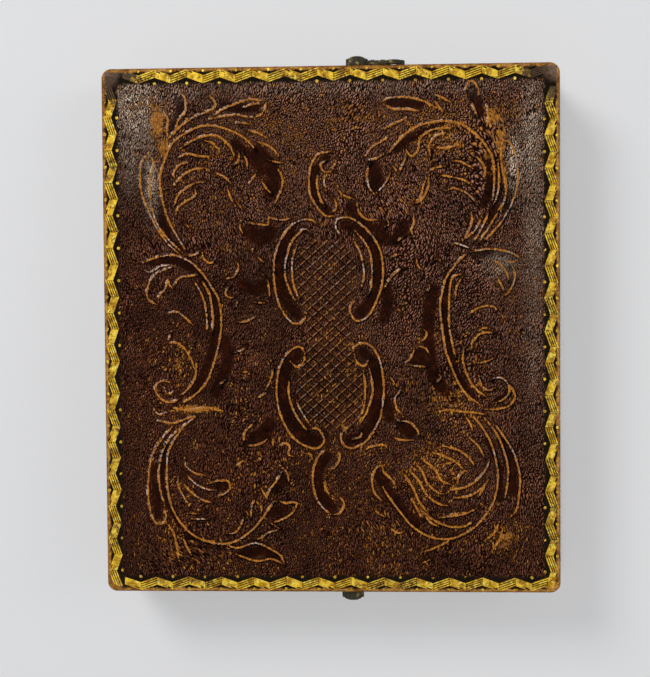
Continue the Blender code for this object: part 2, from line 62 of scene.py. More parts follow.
# The case's own sizes, read from the frame
caseLow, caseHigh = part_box("cover_top_leather")
halfX, halfY = caseHigh.x, caseHigh.y
coverSkirtLow = caseLow.z
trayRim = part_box("tray_side_leather")[1].z
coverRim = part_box("cover_side_leather")[0].z

photo = {
    "width": 650,
    "height": 677,
    "focal": 1384.0,
    "distance": 250.0 * mm,
    "outlineHeight": 16.6 * mm,
    "turn": (2.13, -3.01, 0.43),
    "slide": (0.99 * mm, 1.44 * mm),
    "sensor": 36.0,
    "nearest": 1 * mm,
    "farthest": 10.0,
}


# The photograph's camera: where it stands, and where a pixel of it falls on the case
def photoTurn():
    aboutX, aboutY, aboutZ = (Matrix.Rotation(math.radians(angle), 3, axis)
                              for angle, axis in zip(photo["turn"], "XYZ"))
    return aboutX @ aboutY @ aboutZ


def photoPlace():
    back = photoTurn().transposed()
    offset = back @ Vector((*photo["slide"], -photo["distance"]))
    return Vector((0, 0, photo["outlineHeight"])) - offset


def pixelToPlane(pixels, heights):
    pixels = np.asarray(pixels, float)
    rays = np.column_stack((
        (pixels[:, 0] - photo["width"] / 2) / photo["focal"],
        (photo["height"] / 2 - pixels[:, 1]) / photo["focal"],
        -np.ones(len(pixels)),
    )) @ np.array(photoTurn())
    start = np.array(photoPlace())
    reach = (heights - start[2]) / rays[:, 2]
    return start[:2] + rays[:, :2] * reach[:, None]


def addCamera():
    lens = bpy.data.cameras.new("photo_camera")
    lens.sensor_width = photo["sensor"]
    lens.sensor_fit = "HORIZONTAL"
    lens.lens = photo["sensor"] * photo["focal"] / photo["width"]
    lens.clip_start = photo["nearest"]
    lens.clip_end = photo["farthest"]
    camera = bpy.data.objects.new("photo_camera", lens)
    bpy.context.scene.collection.objects.link(camera)
    camera.matrix_world = Matrix.Translation(photoPlace()) @ photoTurn().transposed().to_4x4()
    bpy.context.scene.camera = camera


studio = {
    "keyPower": 2.5,
    "keySize": 0.36,
    "keyPlace": (-0.42, 0.46, 0.62),
    "fillPower": 0.4,
    "fillSize": 0.35,
    "fillPlace": (0.50, 0.12, 0.50),
    "topPower": 6.4,
    "topSize": 0.30,
    "topPlace": (0.0, 0.0, 1.1),
    "ambient": 0.15,
    "background": 0.80,
    "floorSize": 3.0,
    "floorTone": (0.770, 0.773, 0.782),
    "worldTone": (0.96, 0.98, 1.0),
}


def addLamp(name, power, size, place, mirrored=True):
    lamp = bpy.data.lights.new(name, "AREA")
    lamp.energy = power
    lamp.shape = "DISK"
    lamp.size = size
    holder = bpy.data.objects.new(name, lamp)
    bpy.context.scene.collection.objects.link(holder)
    holder.location = place
    holder.visible_glossy = mirrored
    holder.rotation_euler = Vector(place).to_track_quat("Z", "Y").to_euler()


# Shader sums are written as Python: a Wire is a node's output, and sums of wires add nodes
class Wire:
    def __init__(self, finish, socket):
        self.finish = finish
        self.socket = socket

    def maths(self, operation, *values):
        return self.finish.node("ShaderNodeMath", {"operation": operation}, dict(enumerate(values)))

    def __add__(self, other):
        return self.maths("ADD", self, other)

    def __sub__(self, other):
        return self.maths("SUBTRACT", self, other)

    def __rsub__(self, other):
        return self.maths("SUBTRACT", other, self)

    def __mul__(self, other):
        return self.maths("MULTIPLY", self, other)

    def __truediv__(self, other):
        return self.maths("DIVIDE", self, other)

    def __rtruediv__(self, other):
        return self.maths("DIVIDE", other, self)

    def __pow__(self, other):
        return self.maths("POWER", self, other)

    def __abs__(self):
        return self.maths("ABSOLUTE", self)

    __radd__ = __add__
    __rmul__ = __mul__

    def lowest(self, other):
        return self.maths("MINIMUM", self, other)

    def highest(self, other):
        return self.maths("MAXIMUM", self, other)

    def fraction(self):
        return self.maths("FRACT", self)

    def ramp(self, low, high):
        # 0 below low, 1 above high, smooth between; runs the other way where low is above high
        if low > high:
            return 1 - self.ramp(high, low)
        return self.finish.node("ShaderNodeMapRange", {"interpolation_type": "SMOOTHSTEP"},
                                {"Value": self, "From Min": low, "From Max": high})


class Finish:
    def __init__(self, name):
        self.material = bpy.data.materials.new(name)
        self.material.use_nodes = True
        self.tree = self.material.node_tree
        self.shader = self.tree.nodes["Principled BSDF"]

    def node(self, kind, settings=None, values=None, output=0):
        made = self.tree.nodes.new(kind)
        for key, value in (settings or {}).items():
            setattr(made, key, value)
        for key, value in (values or {}).items():
            self.feed(made.inputs[key], value)
        return Wire(self, made.outputs[output])

    def feed(self, socket, value):
        if isinstance(value, Wire):
            self.tree.links.new(value.socket, socket)
        elif isinstance(value, tuple) and socket.type == "RGBA":
            socket.default_value = (*value[:3], 1.0)
        else:
            socket.default_value = value

    def vectors(self, operation, first, second):
        return self.node("ShaderNodeVectorMath", {"operation": operation}, {0: first, 1: second})

    def position(self, scale=(1.0, 1.0, 1.0)):
        # object coordinates in millimetres, stretched by scale
        place = self.node("ShaderNodeTexCoord", output=3)
        stretch = tuple(share / mm for share in scale)
        return self.vectors("MULTIPLY", place, stretch)

    def parts(self, vector):
        made = self.tree.nodes.new("ShaderNodeSeparateXYZ")
        self.feed(made.inputs[0], vector)
        return [Wire(self, socket) for socket in made.outputs]

    def join(self, x, y, z):
        return self.node("ShaderNodeCombineXYZ", None, {0: x, 1: y, 2: z})

    def shifted(self, vector, noise, amount):
        # the vector moved about by a colour noise
        centred = self.vectors("SUBTRACT", noise, (0.5, 0.5, 0.5))
        return self.vectors("ADD", vector, self.vectors("MULTIPLY", centred, (amount,) * 3))

    def noise(self, vector, scale, detail=2.0, roughness=0.5, output=0):
        values = {"Vector": vector, "Scale": scale, "Detail": detail, "Roughness": roughness}
        return self.node("ShaderNodeTexNoise", {"noise_dimensions": "3D"}, values, output)

    def cells(self, vector, scale, feature="F1", randomness=1.0, output=0):
        settings = {"voronoi_dimensions": "3D", "feature": feature}
        values = {"Vector": vector, "Scale": scale, "Randomness": randomness}
        return self.node("ShaderNodeTexVoronoi", settings, values, output)

    def attribute(self, name):
        return self.node("ShaderNodeAttribute", {"attribute_name": name}, output=2)

    def mix(self, factor, first, second):
        return self.node("ShaderNodeMix", {"data_type": "RGBA"}, {0: factor, 6: first, 7: second}, 2)

    def tint(self, colour, factor):
        # the colour darkened or lightened by a number
        grey = self.join(factor, factor, factor)
        return self.vectors("MULTIPLY", colour, grey)

    def bump(self, height, distance, strength=1.0, normal=None):
        values = {"Height": height, "Distance": distance, "Strength": strength}
        if normal is not None:
            values["Normal"] = normal
        return self.node("ShaderNodeBump", None, values)

    def set(self, **values):
        for key, value in values.items():
            self.feed(self.shader.inputs[key.replace("_", " ")], value)
        return self.material


# Modelling helpers
def clearSelection():
    bpy.ops.object.select_all(action="DESELECT")


def pick(item):
    clearSelection()
    item.select_set(True)
    bpy.context.view_layer.objects.active = item


def newest(name):
    item = bpy.context.view_layer.objects.active
    item.name = name
    item.data.name = name
    return item


def coordinates(mesh):
    places = np.empty(len(mesh.vertices) * 3)
    mesh.vertices.foreach_get("co", places)
    return places.reshape(-1, 3)


def moveTo(mesh, places):
    mesh.vertices.foreach_set("co", np.ascontiguousarray(places).ravel())
    mesh.update()


def dressedCopy(node, name):
    # a CAD node's mesh as a piece of its own, its loose triangles merged
    item = bpy.data.objects.new(name, nodes[node].data.copy())
    bpy.context.scene.collection.objects.link(item)
    item.data.materials.clear()
    pick(item)
    bpy.ops.object.mode_set(mode="EDIT")
    bpy.ops.mesh.select_all(action="SELECT")
    bpy.ops.mesh.remove_doubles(threshold=0.002 * mm)
    bpy.ops.mesh.tris_convert_to_quads()
    bpy.ops.object.mode_set(mode="OBJECT")
    return item


def outward(item):
    # doubles merged, then every face turned outwards
    pick(item)
    bpy.ops.object.mode_set(mode="EDIT")
    bpy.ops.mesh.select_all(action="SELECT")
    bpy.ops.mesh.remove_doubles(threshold=0.001 * mm)
    bpy.ops.mesh.normals_make_consistent(inside=False)
    bpy.ops.object.mode_set(mode="OBJECT")


def smooth(item, angle=40):
    pick(item)
    bpy.ops.object.shade_smooth_by_angle(angle=math.radians(angle))


def applyAll(item):
    pick(item)
    for modifier in list(item.modifiers):
        bpy.ops.object.modifier_apply(modifier=modifier.name)


def gather(items, name):
    # several pieces joined into one
    pick(items[0])
    for item in items[1:]:
        item.select_set(True)
    bpy.ops.object.join()
    return newest(name)


def copyAt(model, places):
    # a copy with its own mesh
    copy = bpy.data.objects.new(model.name, model.data.copy())
    bpy.context.scene.collection.objects.link(copy)
    moveTo(copy.data, places)
    return copy


def mark(item, name, values):
    # a number on each point, for a material to read
    layer = item.data.attributes.new(name, "FLOAT", "POINT")
    layer.data.foreach_set("value", np.asarray(values, np.float32))


def dress(item, material, body=None, replaces=()):
    # the piece's material, the body it rides on and the nodes it stands for, which are hidden
    item.data.materials.clear()
    item.data.materials.append(material)
    if body is not None:
        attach(item, body)
    if replaces:
        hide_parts(*replaces)
    return item


# The embossed ornament, as lines of points in the photograph's pixels
headLeft = [
    [(256, 151), (249, 142), (238, 134), (220, 127), (202, 126), (184, 134), (172, 144), (165, 159),
     (160, 177), (162, 198), (168, 219), (177, 236), (186, 251)],
    [(154, 163), (150, 178), (150, 190), (152, 209), (159, 227), (170, 241), (183, 253)],
    [(149, 153), (142, 162), (140, 176), (142, 194), (149, 212), (158, 230), (170, 246), (181, 255)],
    [(149, 153), (153, 162), (152, 171)],
    [(168, 139), (174, 132), (181, 126), (192, 118), (206, 112), (214, 108), (215, 102), (208, 94)],
    [(168, 139), (167, 130), (168, 121), (165, 112)],
    [(176, 93), (183, 95), (186, 104), (185, 112), (178, 121), (175, 132), (170, 136)],
    [(210, 119), (220, 111), (235, 104), (251, 99), (266, 102)],
    [(266, 102), (265, 109), (260, 115), (251, 118)],
    [(251, 118), (238, 115), (224, 116), (211, 119)],
    [(242, 109), (252, 104), (263, 104)],
    [(236, 123), (245, 123), (251, 125)],
    [(246, 130), (256, 132), (267, 138)],
    [(255, 141), (267, 145), (275, 151), (279, 157)],
    [(268, 160), (276, 162), (284, 163)],
    [(277, 167), (282, 177), (282, 187), (278, 197), (274, 205)],
    [(257, 171), (253, 178), (249, 184)],
    [(261, 180), (267, 189), (272, 194)],
    [(179, 149), (192, 141), (204, 136), (217, 136), (226, 142), (232, 150), (235, 160)],
    [(202, 140), (212, 143), (218, 149), (220, 153)],
    [(179, 158), (186, 154), (199, 156), (211, 157)],
    [(172, 180), (175, 170), (181, 164), (190, 162)],
    [(174, 186), (181, 177), (192, 170), (206, 168)],
    [(174, 209), (177, 197), (185, 189), (195, 183), (206, 182)],
    [(176, 218), (177, 209), (185, 202), (195, 196), (195, 189)],
    [(178, 224), (185, 219)],
    [(186, 221), (187, 228)],
    [(212, 172), (221, 175), (228, 180), (232, 186)],
    [(227, 186), (230, 196), (234, 204)],
    [(235, 200), (243, 210)],
    [(239, 153), (238, 161), (233, 167)],
    [(243, 153), (247, 162), (247, 170)],
    [(183, 255), (193, 255), (202, 251)],
]
fieldLeft = [
    [(202, 251), (204, 259), (210, 263), (217, 259)],
    [(238, 261), (238, 270), (233, 277), (224, 279)],
    [(231, 287), (226, 290), (226, 295), (231, 298), (236, 296)],
    [(238, 302), (236, 307), (233, 308)],
    [(253, 302), (265, 303)],
    [(235, 323), (247, 321), (256, 317)],
    [(242, 219), (240, 227), (243, 234)],
    [(249, 223), (267, 225), (268, 221)],
    [(267, 225), (269, 218), (281, 220), (292, 218)],
    [(256, 247), (252, 250), (253, 253)],
    [(256, 256), (261, 260), (264, 263)],
    [(261, 266), (258, 270)],
    [(260, 272), (265, 277)],
    [(268, 280), (270, 298)],
    [(236, 331), (231, 336)],
    [(247, 347), (238, 352), (233, 353)],
    [(251, 372), (240, 372)],
    [(227, 380), (221, 384), (222, 388)],
    [(244, 443), (245, 432), (256, 421)],
    [(247, 446), (260, 444), (269, 438)],
    [(265, 429), (267, 430)],
    [(258, 398), (266, 393)],
    [(274, 368), (270, 381), (265, 391)],
    [(272, 440), (274, 448)],
    [(279, 447), (285, 443), (290, 447), (288, 454), (295, 457)],
    [(301, 453), (310, 454), (313, 461)],
]
scrollLeft = [
    [(141, 264), (149, 260), (158, 257), (172, 255), (183, 258), (193, 264), (202, 273), (211, 286),
     (218, 298), (221, 314), (221, 330), (218, 348), (210, 375), (202, 388), (192, 397), (181, 404)],
    [(194, 281), (201, 293), (205, 305), (207, 320), (207, 334)],
    [(201, 279), (209, 293), (212, 307), (213, 323), (212, 334)],
    [(181, 398), (172, 402), (163, 400), (158, 395), (155, 389), (158, 383), (165, 381), (172, 383)],
    [(165, 388), (167, 394), (174, 392)],
    [(142, 270), (149, 272), (155, 270), (161, 266), (176, 265)],
    [(176, 266), (163, 270), (152, 278), (147, 291), (149, 300), (158, 305)],
    [(158, 305), (159, 296), (165, 289), (168, 280), (170, 286), (174, 289)],
    [(174, 287), (179, 278), (190, 276), (198, 275)],
    [(167, 314), (177, 312), (186, 318), (193, 325)],
    [(172, 320), (176, 328)],
    [(167, 343), (172, 332)],
    [(167, 343), (177, 343), (185, 349), (191, 359), (195, 370)],
    [(197, 360), (195, 378), (186, 391), (177, 397)],
    [(170, 407), (188, 410), (206, 408), (223, 411)],
    [(151, 404), (158, 414), (167, 413)],
    [(158, 421), (174, 423), (188, 418), (197, 416)],
]
footLeft = [
    [(197, 416), (185, 425), (174, 440), (168, 454), (167, 472), (168, 490), (172, 507), (181, 523),
     (195, 536), (210, 542), (224, 544), (238, 540), (251, 531), (261, 520), (270, 507), (276, 500)],
    [(181, 427), (168, 441), (161, 457), (159, 475), (161, 493), (165, 506)],
    [(174, 425), (161, 440), (152, 456), (149, 473), (148, 491), (150, 509), (155, 522), (162, 524),
     (166, 518), (164, 506)],
    [(179, 477), (178, 484), (183, 495), (190, 507)],
    [(182, 481), (190, 491), (201, 499), (213, 503)],
    [(185, 473), (195, 483), (206, 489), (217, 490)],
    [(188, 513), (201, 514)],
    [(191, 519), (210, 519)],
    [(207, 484), (217, 481), (228, 481), (230, 486), (227, 492), (215, 498)],
    [(185, 457), (186, 466), (195, 473), (206, 476)],
    [(226, 534), (236, 532), (243, 520), (243, 513)],
    [(251, 519), (252, 506), (257, 495)],
    [(261, 515), (262, 504)],
    [(244, 507), (249, 515)],
    [(268, 500), (267, 495), (274, 484), (283, 472)],
    [(281, 466), (287, 473), (289, 482)],
    [(261, 488), (268, 500)],
    [(276, 500), (286, 503), (297, 503), (292, 513), (281, 520), (270, 523)],
    [(281, 529), (270, 532), (261, 538), (254, 539)],
    [(270, 523), (281, 529)],
    [(226, 545), (238, 548), (256, 543), (274, 551), (281, 556), (285, 566)],
    [(236, 554), (256, 561), (272, 559), (285, 565)],
    [(167, 523), (174, 534), (177, 547), (179, 561)],
    [(183, 536), (186, 545), (192, 556)],
    [(198, 547), (204, 557)],
    [(235, 468), (243, 461), (249, 466)],
]
cartouche = [
    [(317, 225), (312, 220), (302, 220), (292, 225), (283, 236), (277, 248), (274, 262), (274, 280),
     (277, 298), (283, 312), (290, 321), (297, 324), (304, 320), (306, 312)],
    [(312, 234), (304, 229), (293, 240), (288, 252), (285, 266), (286, 280), (292, 295), (297, 303)],
    [(297, 245), (293, 257), (292, 271), (294, 286), (300, 302)],
    [(305, 354), (302, 348), (296, 347), (287, 354), (280, 366), (277, 382), (277, 400), (281, 416),
     (288, 431), (297, 441), (308, 447), (318, 448), (324, 441), (321, 432), (315, 428), (308, 431)],
    [(289, 379), (289, 395), (293, 409), (301, 423), (308, 431)],
    [(296, 397), (299, 407), (310, 425)],
    [(305, 354), (303, 363), (297, 367), (290, 361)],
    [(343, 239), (336, 228), (337, 220), (345, 217), (353, 219), (364, 227), (373, 237), (380, 250),
     (383, 266), (382, 284), (377, 300), (371, 312), (363, 320), (355, 320), (350, 311), (352, 303),
     (357, 300)],
    [(355, 231), (364, 241), (370, 253), (372, 270), (371, 286), (368, 296)],
    [(353, 239), (360, 252), (363, 264), (364, 278), (361, 289)],
    [(354, 353), (354, 347), (362, 343), (371, 346), (378, 356), (382, 370), (384, 388), (383, 402),
     (380, 418), (373, 432), (364, 443), (353, 448), (344, 445), (341, 436), (346, 429), (353, 426)],
    [(354, 353), (357, 362), (364, 366), (369, 359)],
    [(369, 368), (372, 381), (372, 395), (367, 411), (359, 425)],
    [(363, 370), (365, 384), (364, 407), (357, 422)],
    [(353, 440), (361, 436), (361, 429)],
]
headMiddle = [
    [(334, 152), (326, 152), (317, 155), (311, 166), (309, 180), (310, 194), (317, 207), (326, 216),
     (334, 216)],
    [(327, 161), (321, 164), (322, 170), (327, 172), (334, 170)],
    [(318, 173), (317, 184), (320, 198), (325, 207)],
    [(326, 173), (324, 182), (327, 193)],
    [(337, 157), (334, 166), (330, 170)],
    [(330, 196), (335, 200), (336, 209), (331, 213)],
    [(336, 187), (343, 195), (354, 199)],
    [(357, 201), (359, 212), (366, 219), (377, 220)],
    [(385, 228), (389, 224), (387, 220)],
]
footMiddle = [
    [(327, 449), (318, 457), (313, 472), (314, 490), (320, 504), (329, 513), (334, 514)],
    [(338, 450), (340, 457), (336, 466), (330, 471)],
    [(337, 495), (344, 502), (343, 509), (338, 514), (330, 514)],
    [(326, 477), (325, 486), (331, 498)],
]
headRight = [
    [(387, 155), (395, 145), (405, 134), (418, 126), (432, 122), (446, 121), (461, 124), (473, 132),
     (484, 143), (492, 157), (494, 171), (494, 187), (492, 203)],
    [(482, 216), (475, 230), (462, 241)],
    [(489, 212), (482, 227), (473, 243)],
    [(498, 212), (489, 227), (477, 245)],
    [(509, 207), (502, 221), (491, 234), (482, 243)],
    [(502, 141), (509, 142), (515, 153), (518, 170), (517, 187), (511, 205), (502, 221)],
    [(502, 141), (501, 155), (503, 173), (506, 187), (504, 202), (496, 212)],
    [(498, 162), (499, 180), (497, 196), (492, 207)],
    [(380, 103), (389, 98), (405, 97), (421, 100), (434, 107)],
    [(382, 103), (393, 109), (407, 109), (420, 111)],
    [(434, 98), (436, 95), (445, 99), (452, 103)],
    [(434, 100), (439, 107), (445, 114)],
    [(465, 91), (468, 82), (473, 81), (478, 89), (479, 96)],
    [(471, 100), (475, 111), (478, 118)],
    [(487, 103), (488, 114), (487, 127)],
    [(382, 130), (393, 124), (407, 118)],
    [(364, 158), (371, 148), (382, 141), (392, 134)],
    [(367, 161), (377, 158), (384, 154)],
    [(371, 162), (367, 173), (369, 187), (375, 195)],
    [(391, 171), (386, 182), (375, 195)],
    [(393, 166), (399, 174)],
    [(407, 155), (402, 166), (399, 174)],
    [(453, 128), (441, 128), (427, 132), (420, 139), (418, 150), (412, 156), (407, 152), (406, 146)],
    [(430, 155), (429, 145), (436, 136), (446, 133)],
    [(434, 147), (445, 148), (459, 145)],
    [(450, 161), (462, 162), (475, 170)],
    [(475, 155), (484, 166), (485, 180)],
    [(427, 174), (434, 168), (446, 166)],
    [(427, 175), (423, 187), (420, 198), (413, 204)],
    [(429, 174), (428, 187), (423, 198), (414, 205)],
    [(437, 175), (452, 177), (464, 180), (473, 186)],
    [(445, 191), (455, 188), (468, 194), (478, 205)],
    [(471, 211), (472, 220), (468, 232), (462, 241)],
    [(413, 211), (414, 223), (409, 234)],
    [(396, 242), (403, 237)],
    [(452, 248), (453, 243), (462, 245), (473, 250)],
]
scrollRight = [
    [(471, 252), (486, 249), (500, 250), (512, 253), (521, 259)],
    [(521, 260), (512, 262), (505, 261)],
    [(471, 252), (462, 257), (453, 268), (446, 278), (442, 293), (440, 305), (441, 319), (443, 334),
     (446, 352), (452, 368), (459, 384), (469, 397), (480, 404)],
    [(462, 274), (453, 277), (450, 287), (449, 305), (449, 323), (450, 332), (453, 347), (456, 359)],
    [(464, 275), (457, 286), (455, 300)],
    [(464, 348), (463, 361), (468, 377), (477, 390), (487, 397)],
    [(478, 372), (482, 386), (489, 390), (496, 388)],
    [(491, 403), (502, 400), (509, 393), (508, 384), (502, 378), (494, 378), (489, 382)],
    [(484, 409), (496, 409), (509, 406), (515, 397), (512, 388), (507, 382)],
    [(491, 259), (500, 264), (507, 273), (509, 282)],
    [(511, 264), (515, 275), (512, 287), (505, 296)],
    [(496, 275), (502, 286), (505, 296)],
    [(468, 318), (473, 311), (484, 306), (495, 307), (496, 312)],
    [(477, 332), (484, 328), (493, 330)],
    [(471, 350), (473, 341), (482, 333), (495, 333)],
    [(473, 363), (484, 362), (495, 358)],
]
fieldRight = [
    [(416, 257), (418, 266), (423, 270)],
    [(438, 256), (441, 263)],
    [(422, 278), (418, 282)],
    [(428, 284), (430, 287), (428, 291)],
    [(417, 295), (421, 300)],
    [(399, 305), (407, 303)],
    [(397, 307), (402, 314)],
    [(384, 289), (391, 277), (402, 268)],
    [(391, 259), (395, 255), (402, 254)],
    [(423, 329), (427, 333), (423, 340), (418, 340)],
    [(405, 364), (411, 357), (416, 346)],
    [(416, 346), (425, 348), (430, 355)],
    [(407, 365), (427, 367)],
    [(437, 373), (441, 377), (437, 382)],
    [(448, 397), (453, 396)],
    [(389, 375), (396, 386)],
    [(402, 390), (395, 398), (397, 409), (403, 415)],
    [(398, 421), (409, 422), (418, 431), (419, 438)],
    [(392, 437), (402, 440), (414, 440)],
    [(395, 427), (397, 427)],
    [(362, 453), (370, 447), (384, 445), (388, 450)],
]
footRight = [
    [(437, 412), (448, 410), (457, 411), (466, 412), (477, 413), (487, 415)],
    [(472, 415), (482, 427), (491, 443), (496, 461), (498, 479), (495, 497), (487, 513), (477, 525),
     (462, 535), (448, 539), (434, 538), (420, 532), (409, 523), (398, 509), (389, 497), (382, 486)],
    [(484, 418), (495, 431), (503, 448), (508, 468), (507, 486), (505, 498)],
    [(493, 422), (505, 438), (515, 456), (520, 477), (519, 497), (516, 511), (509, 518)],
    [(464, 415), (470, 423), (473, 432)],
    [(382, 464), (375, 470), (372, 481), (375, 493), (383, 502)],
    [(382, 464), (384, 472), (393, 481), (396, 488)],
    [(373, 506), (378, 513), (386, 517)],
    [(416, 463), (423, 473), (428, 484), (437, 492), (446, 494)],
    [(487, 481), (482, 491), (477, 498)],
    [(445, 516), (455, 514), (471, 512)],
    [(423, 513), (430, 522), (439, 527)],
    [(443, 464), (453, 463)],
    [(450, 470), (455, 475)],
    [(411, 497), (418, 511), (423, 520)],
    [(447, 490), (463, 488), (477, 480), (487, 467), (489, 457)],
    [(453, 498), (469, 496), (482, 488), (489, 479)],
    [(437, 518), (452, 516), (467, 513), (479, 507)],
    [(420, 509), (432, 519), (447, 526), (462, 527), (474, 521)],
    [(402, 472), (412, 486), (419, 501), (429, 514)],
    [(409, 470), (419, 481), (426, 494), (437, 503), (449, 506)],
    [(421, 459), (434, 468), (441, 480), (452, 485)],
    [(444, 446), (458, 450), (468, 457), (475, 466)],
    [(432, 452), (446, 457), (457, 463), (465, 471)],
    [(468, 436), (479, 447), (485, 459)],
    [(423, 552), (437, 547), (452, 539)],
    [(420, 564), (432, 559)],
    [(500, 520), (494, 533), (484, 541)],
    [(503, 528), (499, 541), (492, 549)],
    [(466, 470), (459, 476), (457, 484)],
    [(493, 539), (494, 554)],
    [(389, 527), (398, 533), (405, 531)],
]
ornament = (headLeft + fieldLeft + scrollLeft + footLeft + cartouche + headMiddle + footMiddle
            + headRight + scrollRight + fieldRight + footRight)

# The smooth stems and leaves: a middle line in the same pixels and half its width in pixels
smoothStems = [
    ([(292, 234), (281, 256), (280, 280), (287, 302), (297, 314)], 5.5),
    ([(297, 354), (286, 370), (283, 395), (290, 420), (305, 437), (316, 440)], 5.5),
    ([(345, 225), (360, 232), (375, 250), (377, 275), (371, 298), (360, 313)], 5.5),
    ([(363, 352), (374, 365), (378, 390), (373, 418), (360, 437), (349, 440)], 5.5),
    ([(326, 158), (315, 172), (315, 194), (327, 210)], 4.5),
    ([(328, 456), (319, 470), (320, 492), (332, 507)], 4.5),
    ([(146, 165), (145, 185), (151, 208), (164, 232), (178, 250)], 4.0),
    ([(157, 165), (155, 185), (158, 208), (168, 232)], 3.0),
    ([(187, 262), (204, 282), (214, 305), (215, 335), (205, 370), (194, 390)], 4.0),
    ([(150, 262), (172, 260), (190, 268)], 4.0),
    ([(258, 152), (272, 170), (272, 192)], 8.0),
    ([(235, 143), (248, 155), (262, 172)], 4.5),
    ([(250, 232), (262, 238), (270, 232)], 8.0),
    ([(243, 285), (256, 290), (262, 286)], 6.0),
    ([(254, 440), (262, 434), (270, 425)], 7.0),
    ([(224, 340), (228, 360), (216, 392)], 6.0),
    ([(224, 106), (240, 108), (255, 108)], 5.0),
    ([(178, 98), (180, 110), (172, 128)], 4.0),
    ([(155, 470), (156, 495), (158, 515)], 4.5),
    ([(165, 445), (163, 470), (168, 500), (180, 525)], 3.5),
    ([(219, 486), (226, 486)], 4.5),
    ([(275, 487), (282, 480)], 6.0),
    ([(272, 512), (284, 509)], 5.0),
    ([(240, 555), (262, 551), (275, 556)], 5.0),
    ([(510, 160), (512, 180), (507, 205)], 5.0),
    ([(499, 165), (499, 190), (490, 220)], 3.5),
    ([(390, 102), (405, 103), (420, 105)], 4.5),
    ([(472, 90), (476, 104), (478, 114)], 6.0),
    ([(372, 166), (377, 178), (374, 186)], 7.0),
    ([(396, 150), (412, 137), (440, 125)], 4.0),
    ([(485, 158), (490, 180), (484, 205)], 4.0),
    ([(448, 272), (444, 300), (446, 335), (455, 370), (473, 396)], 3.5),
    ([(433, 290), (428, 330), (434, 375), (452, 398)], 6.5),
    ([(478, 254), (500, 256), (510, 266)], 5.0),
    ([(497, 400), (509, 394), (510, 386)], 3.0),
    ([(418, 354), (422, 360), (416, 363)], 6.0),
    ([(400, 425), (410, 432)], 6.5),
    ([(384, 280), (388, 300), (384, 318)], 6.0),
    ([(386, 400), (390, 418)], 5.0),
    ([(380, 478), (388, 492), (400, 508), (415, 524)], 6.0),
    ([(501, 440), (511, 465), (513, 492)], 5.0),
    ([(487, 440), (500, 470), (500, 500)], 3.0),
    ([(384, 225), (380, 236), (394, 240), (404, 225)], 6.0),
    ([(350, 206), (362, 222), (374, 228)], 5.0),
]
# Where the surface is rubbed: centre, half width and half height in pixels, and how much
rubbed = [
    ((157, 122), (8, 20), 1.0), ((163, 148), (7, 14), 0.85), ((158, 175), (6, 26), 0.55),
    ((150, 104), (16, 8), 0.5), ((494, 117), (13, 14), 0.80), ((500, 138), (9, 22), 0.80),
    ((478, 136), (22, 10), 0.50), ((507, 112), (10, 8), 0.5), ((505, 172), (6, 16), 0.70),
    ((436, 108), (18, 8), 0.45), ((448, 128), (26, 8), 0.50), ((489, 160), (8, 20), 0.6),
    ((448, 130), (54, 28), 0.52), ((205, 150), (55, 45), 0.22), ((400, 128), (30, 18), 0.30),
    ((450, 400), (26, 20), 0.55), ((432, 470), (30, 28), 0.5), ((505, 540), (16, 18), 0.62),
    ((172, 540), (14, 18), 0.45), ((180, 365), (16, 18), 0.5), ((345, 380), (34, 40), 0.20),
    ((285, 130), (46, 26), 0.3), ((455, 145), (26, 16), 0.55), ((365, 115), (34, 12), 0.4),
    ((380, 540), (70, 26), 0.22), ((195, 409), (26, 4), 1.0), ((110, 450), (6, 60), 0.2),
    ((455, 350), (30, 30), 0.2), ((395, 470), (30, 24), 0.22), ((215, 560), (60, 12), 0.3),
    ((300, 470), (60, 50), 0.18), ((240, 400), (40, 30), 0.15),
]
# Where a painted sheen lies: greyish patches standing in for light reflected off the cover's shoulders, in
# the same form
paintedSheen = [
    ((134, 106), (20, 24), 1.0), ((138, 122), (16, 22), 0.8), ((130, 150), (11, 32), 0.5),
    ((151, 182), (6, 26), 0.7), ((515, 160), (6, 24), 1.0), ((532, 140), (10, 50), 0.75),
    ((534, 240), (9, 50), 0.45), ((534, 330), (8, 60), 0.22), ((160, 92), (40, 8), 0.35),
    ((500, 265), (14, 10), 0.4), ((330, 86), (200, 8), 0.2),
]
# The outline of the lattice's field
latticeOutline = [(314, 236), (340, 238), (352, 252), (358, 275), (356, 296), (346, 306), (350, 322),
                  (352, 345), (354, 364), (364, 372), (364, 400), (356, 424), (340, 430), (318, 428),
                  (304, 414), (297, 392), (298, 370), (306, 356), (308, 340), (307, 322), (300, 304),
                  (295, 282), (295, 262), (302, 246)]


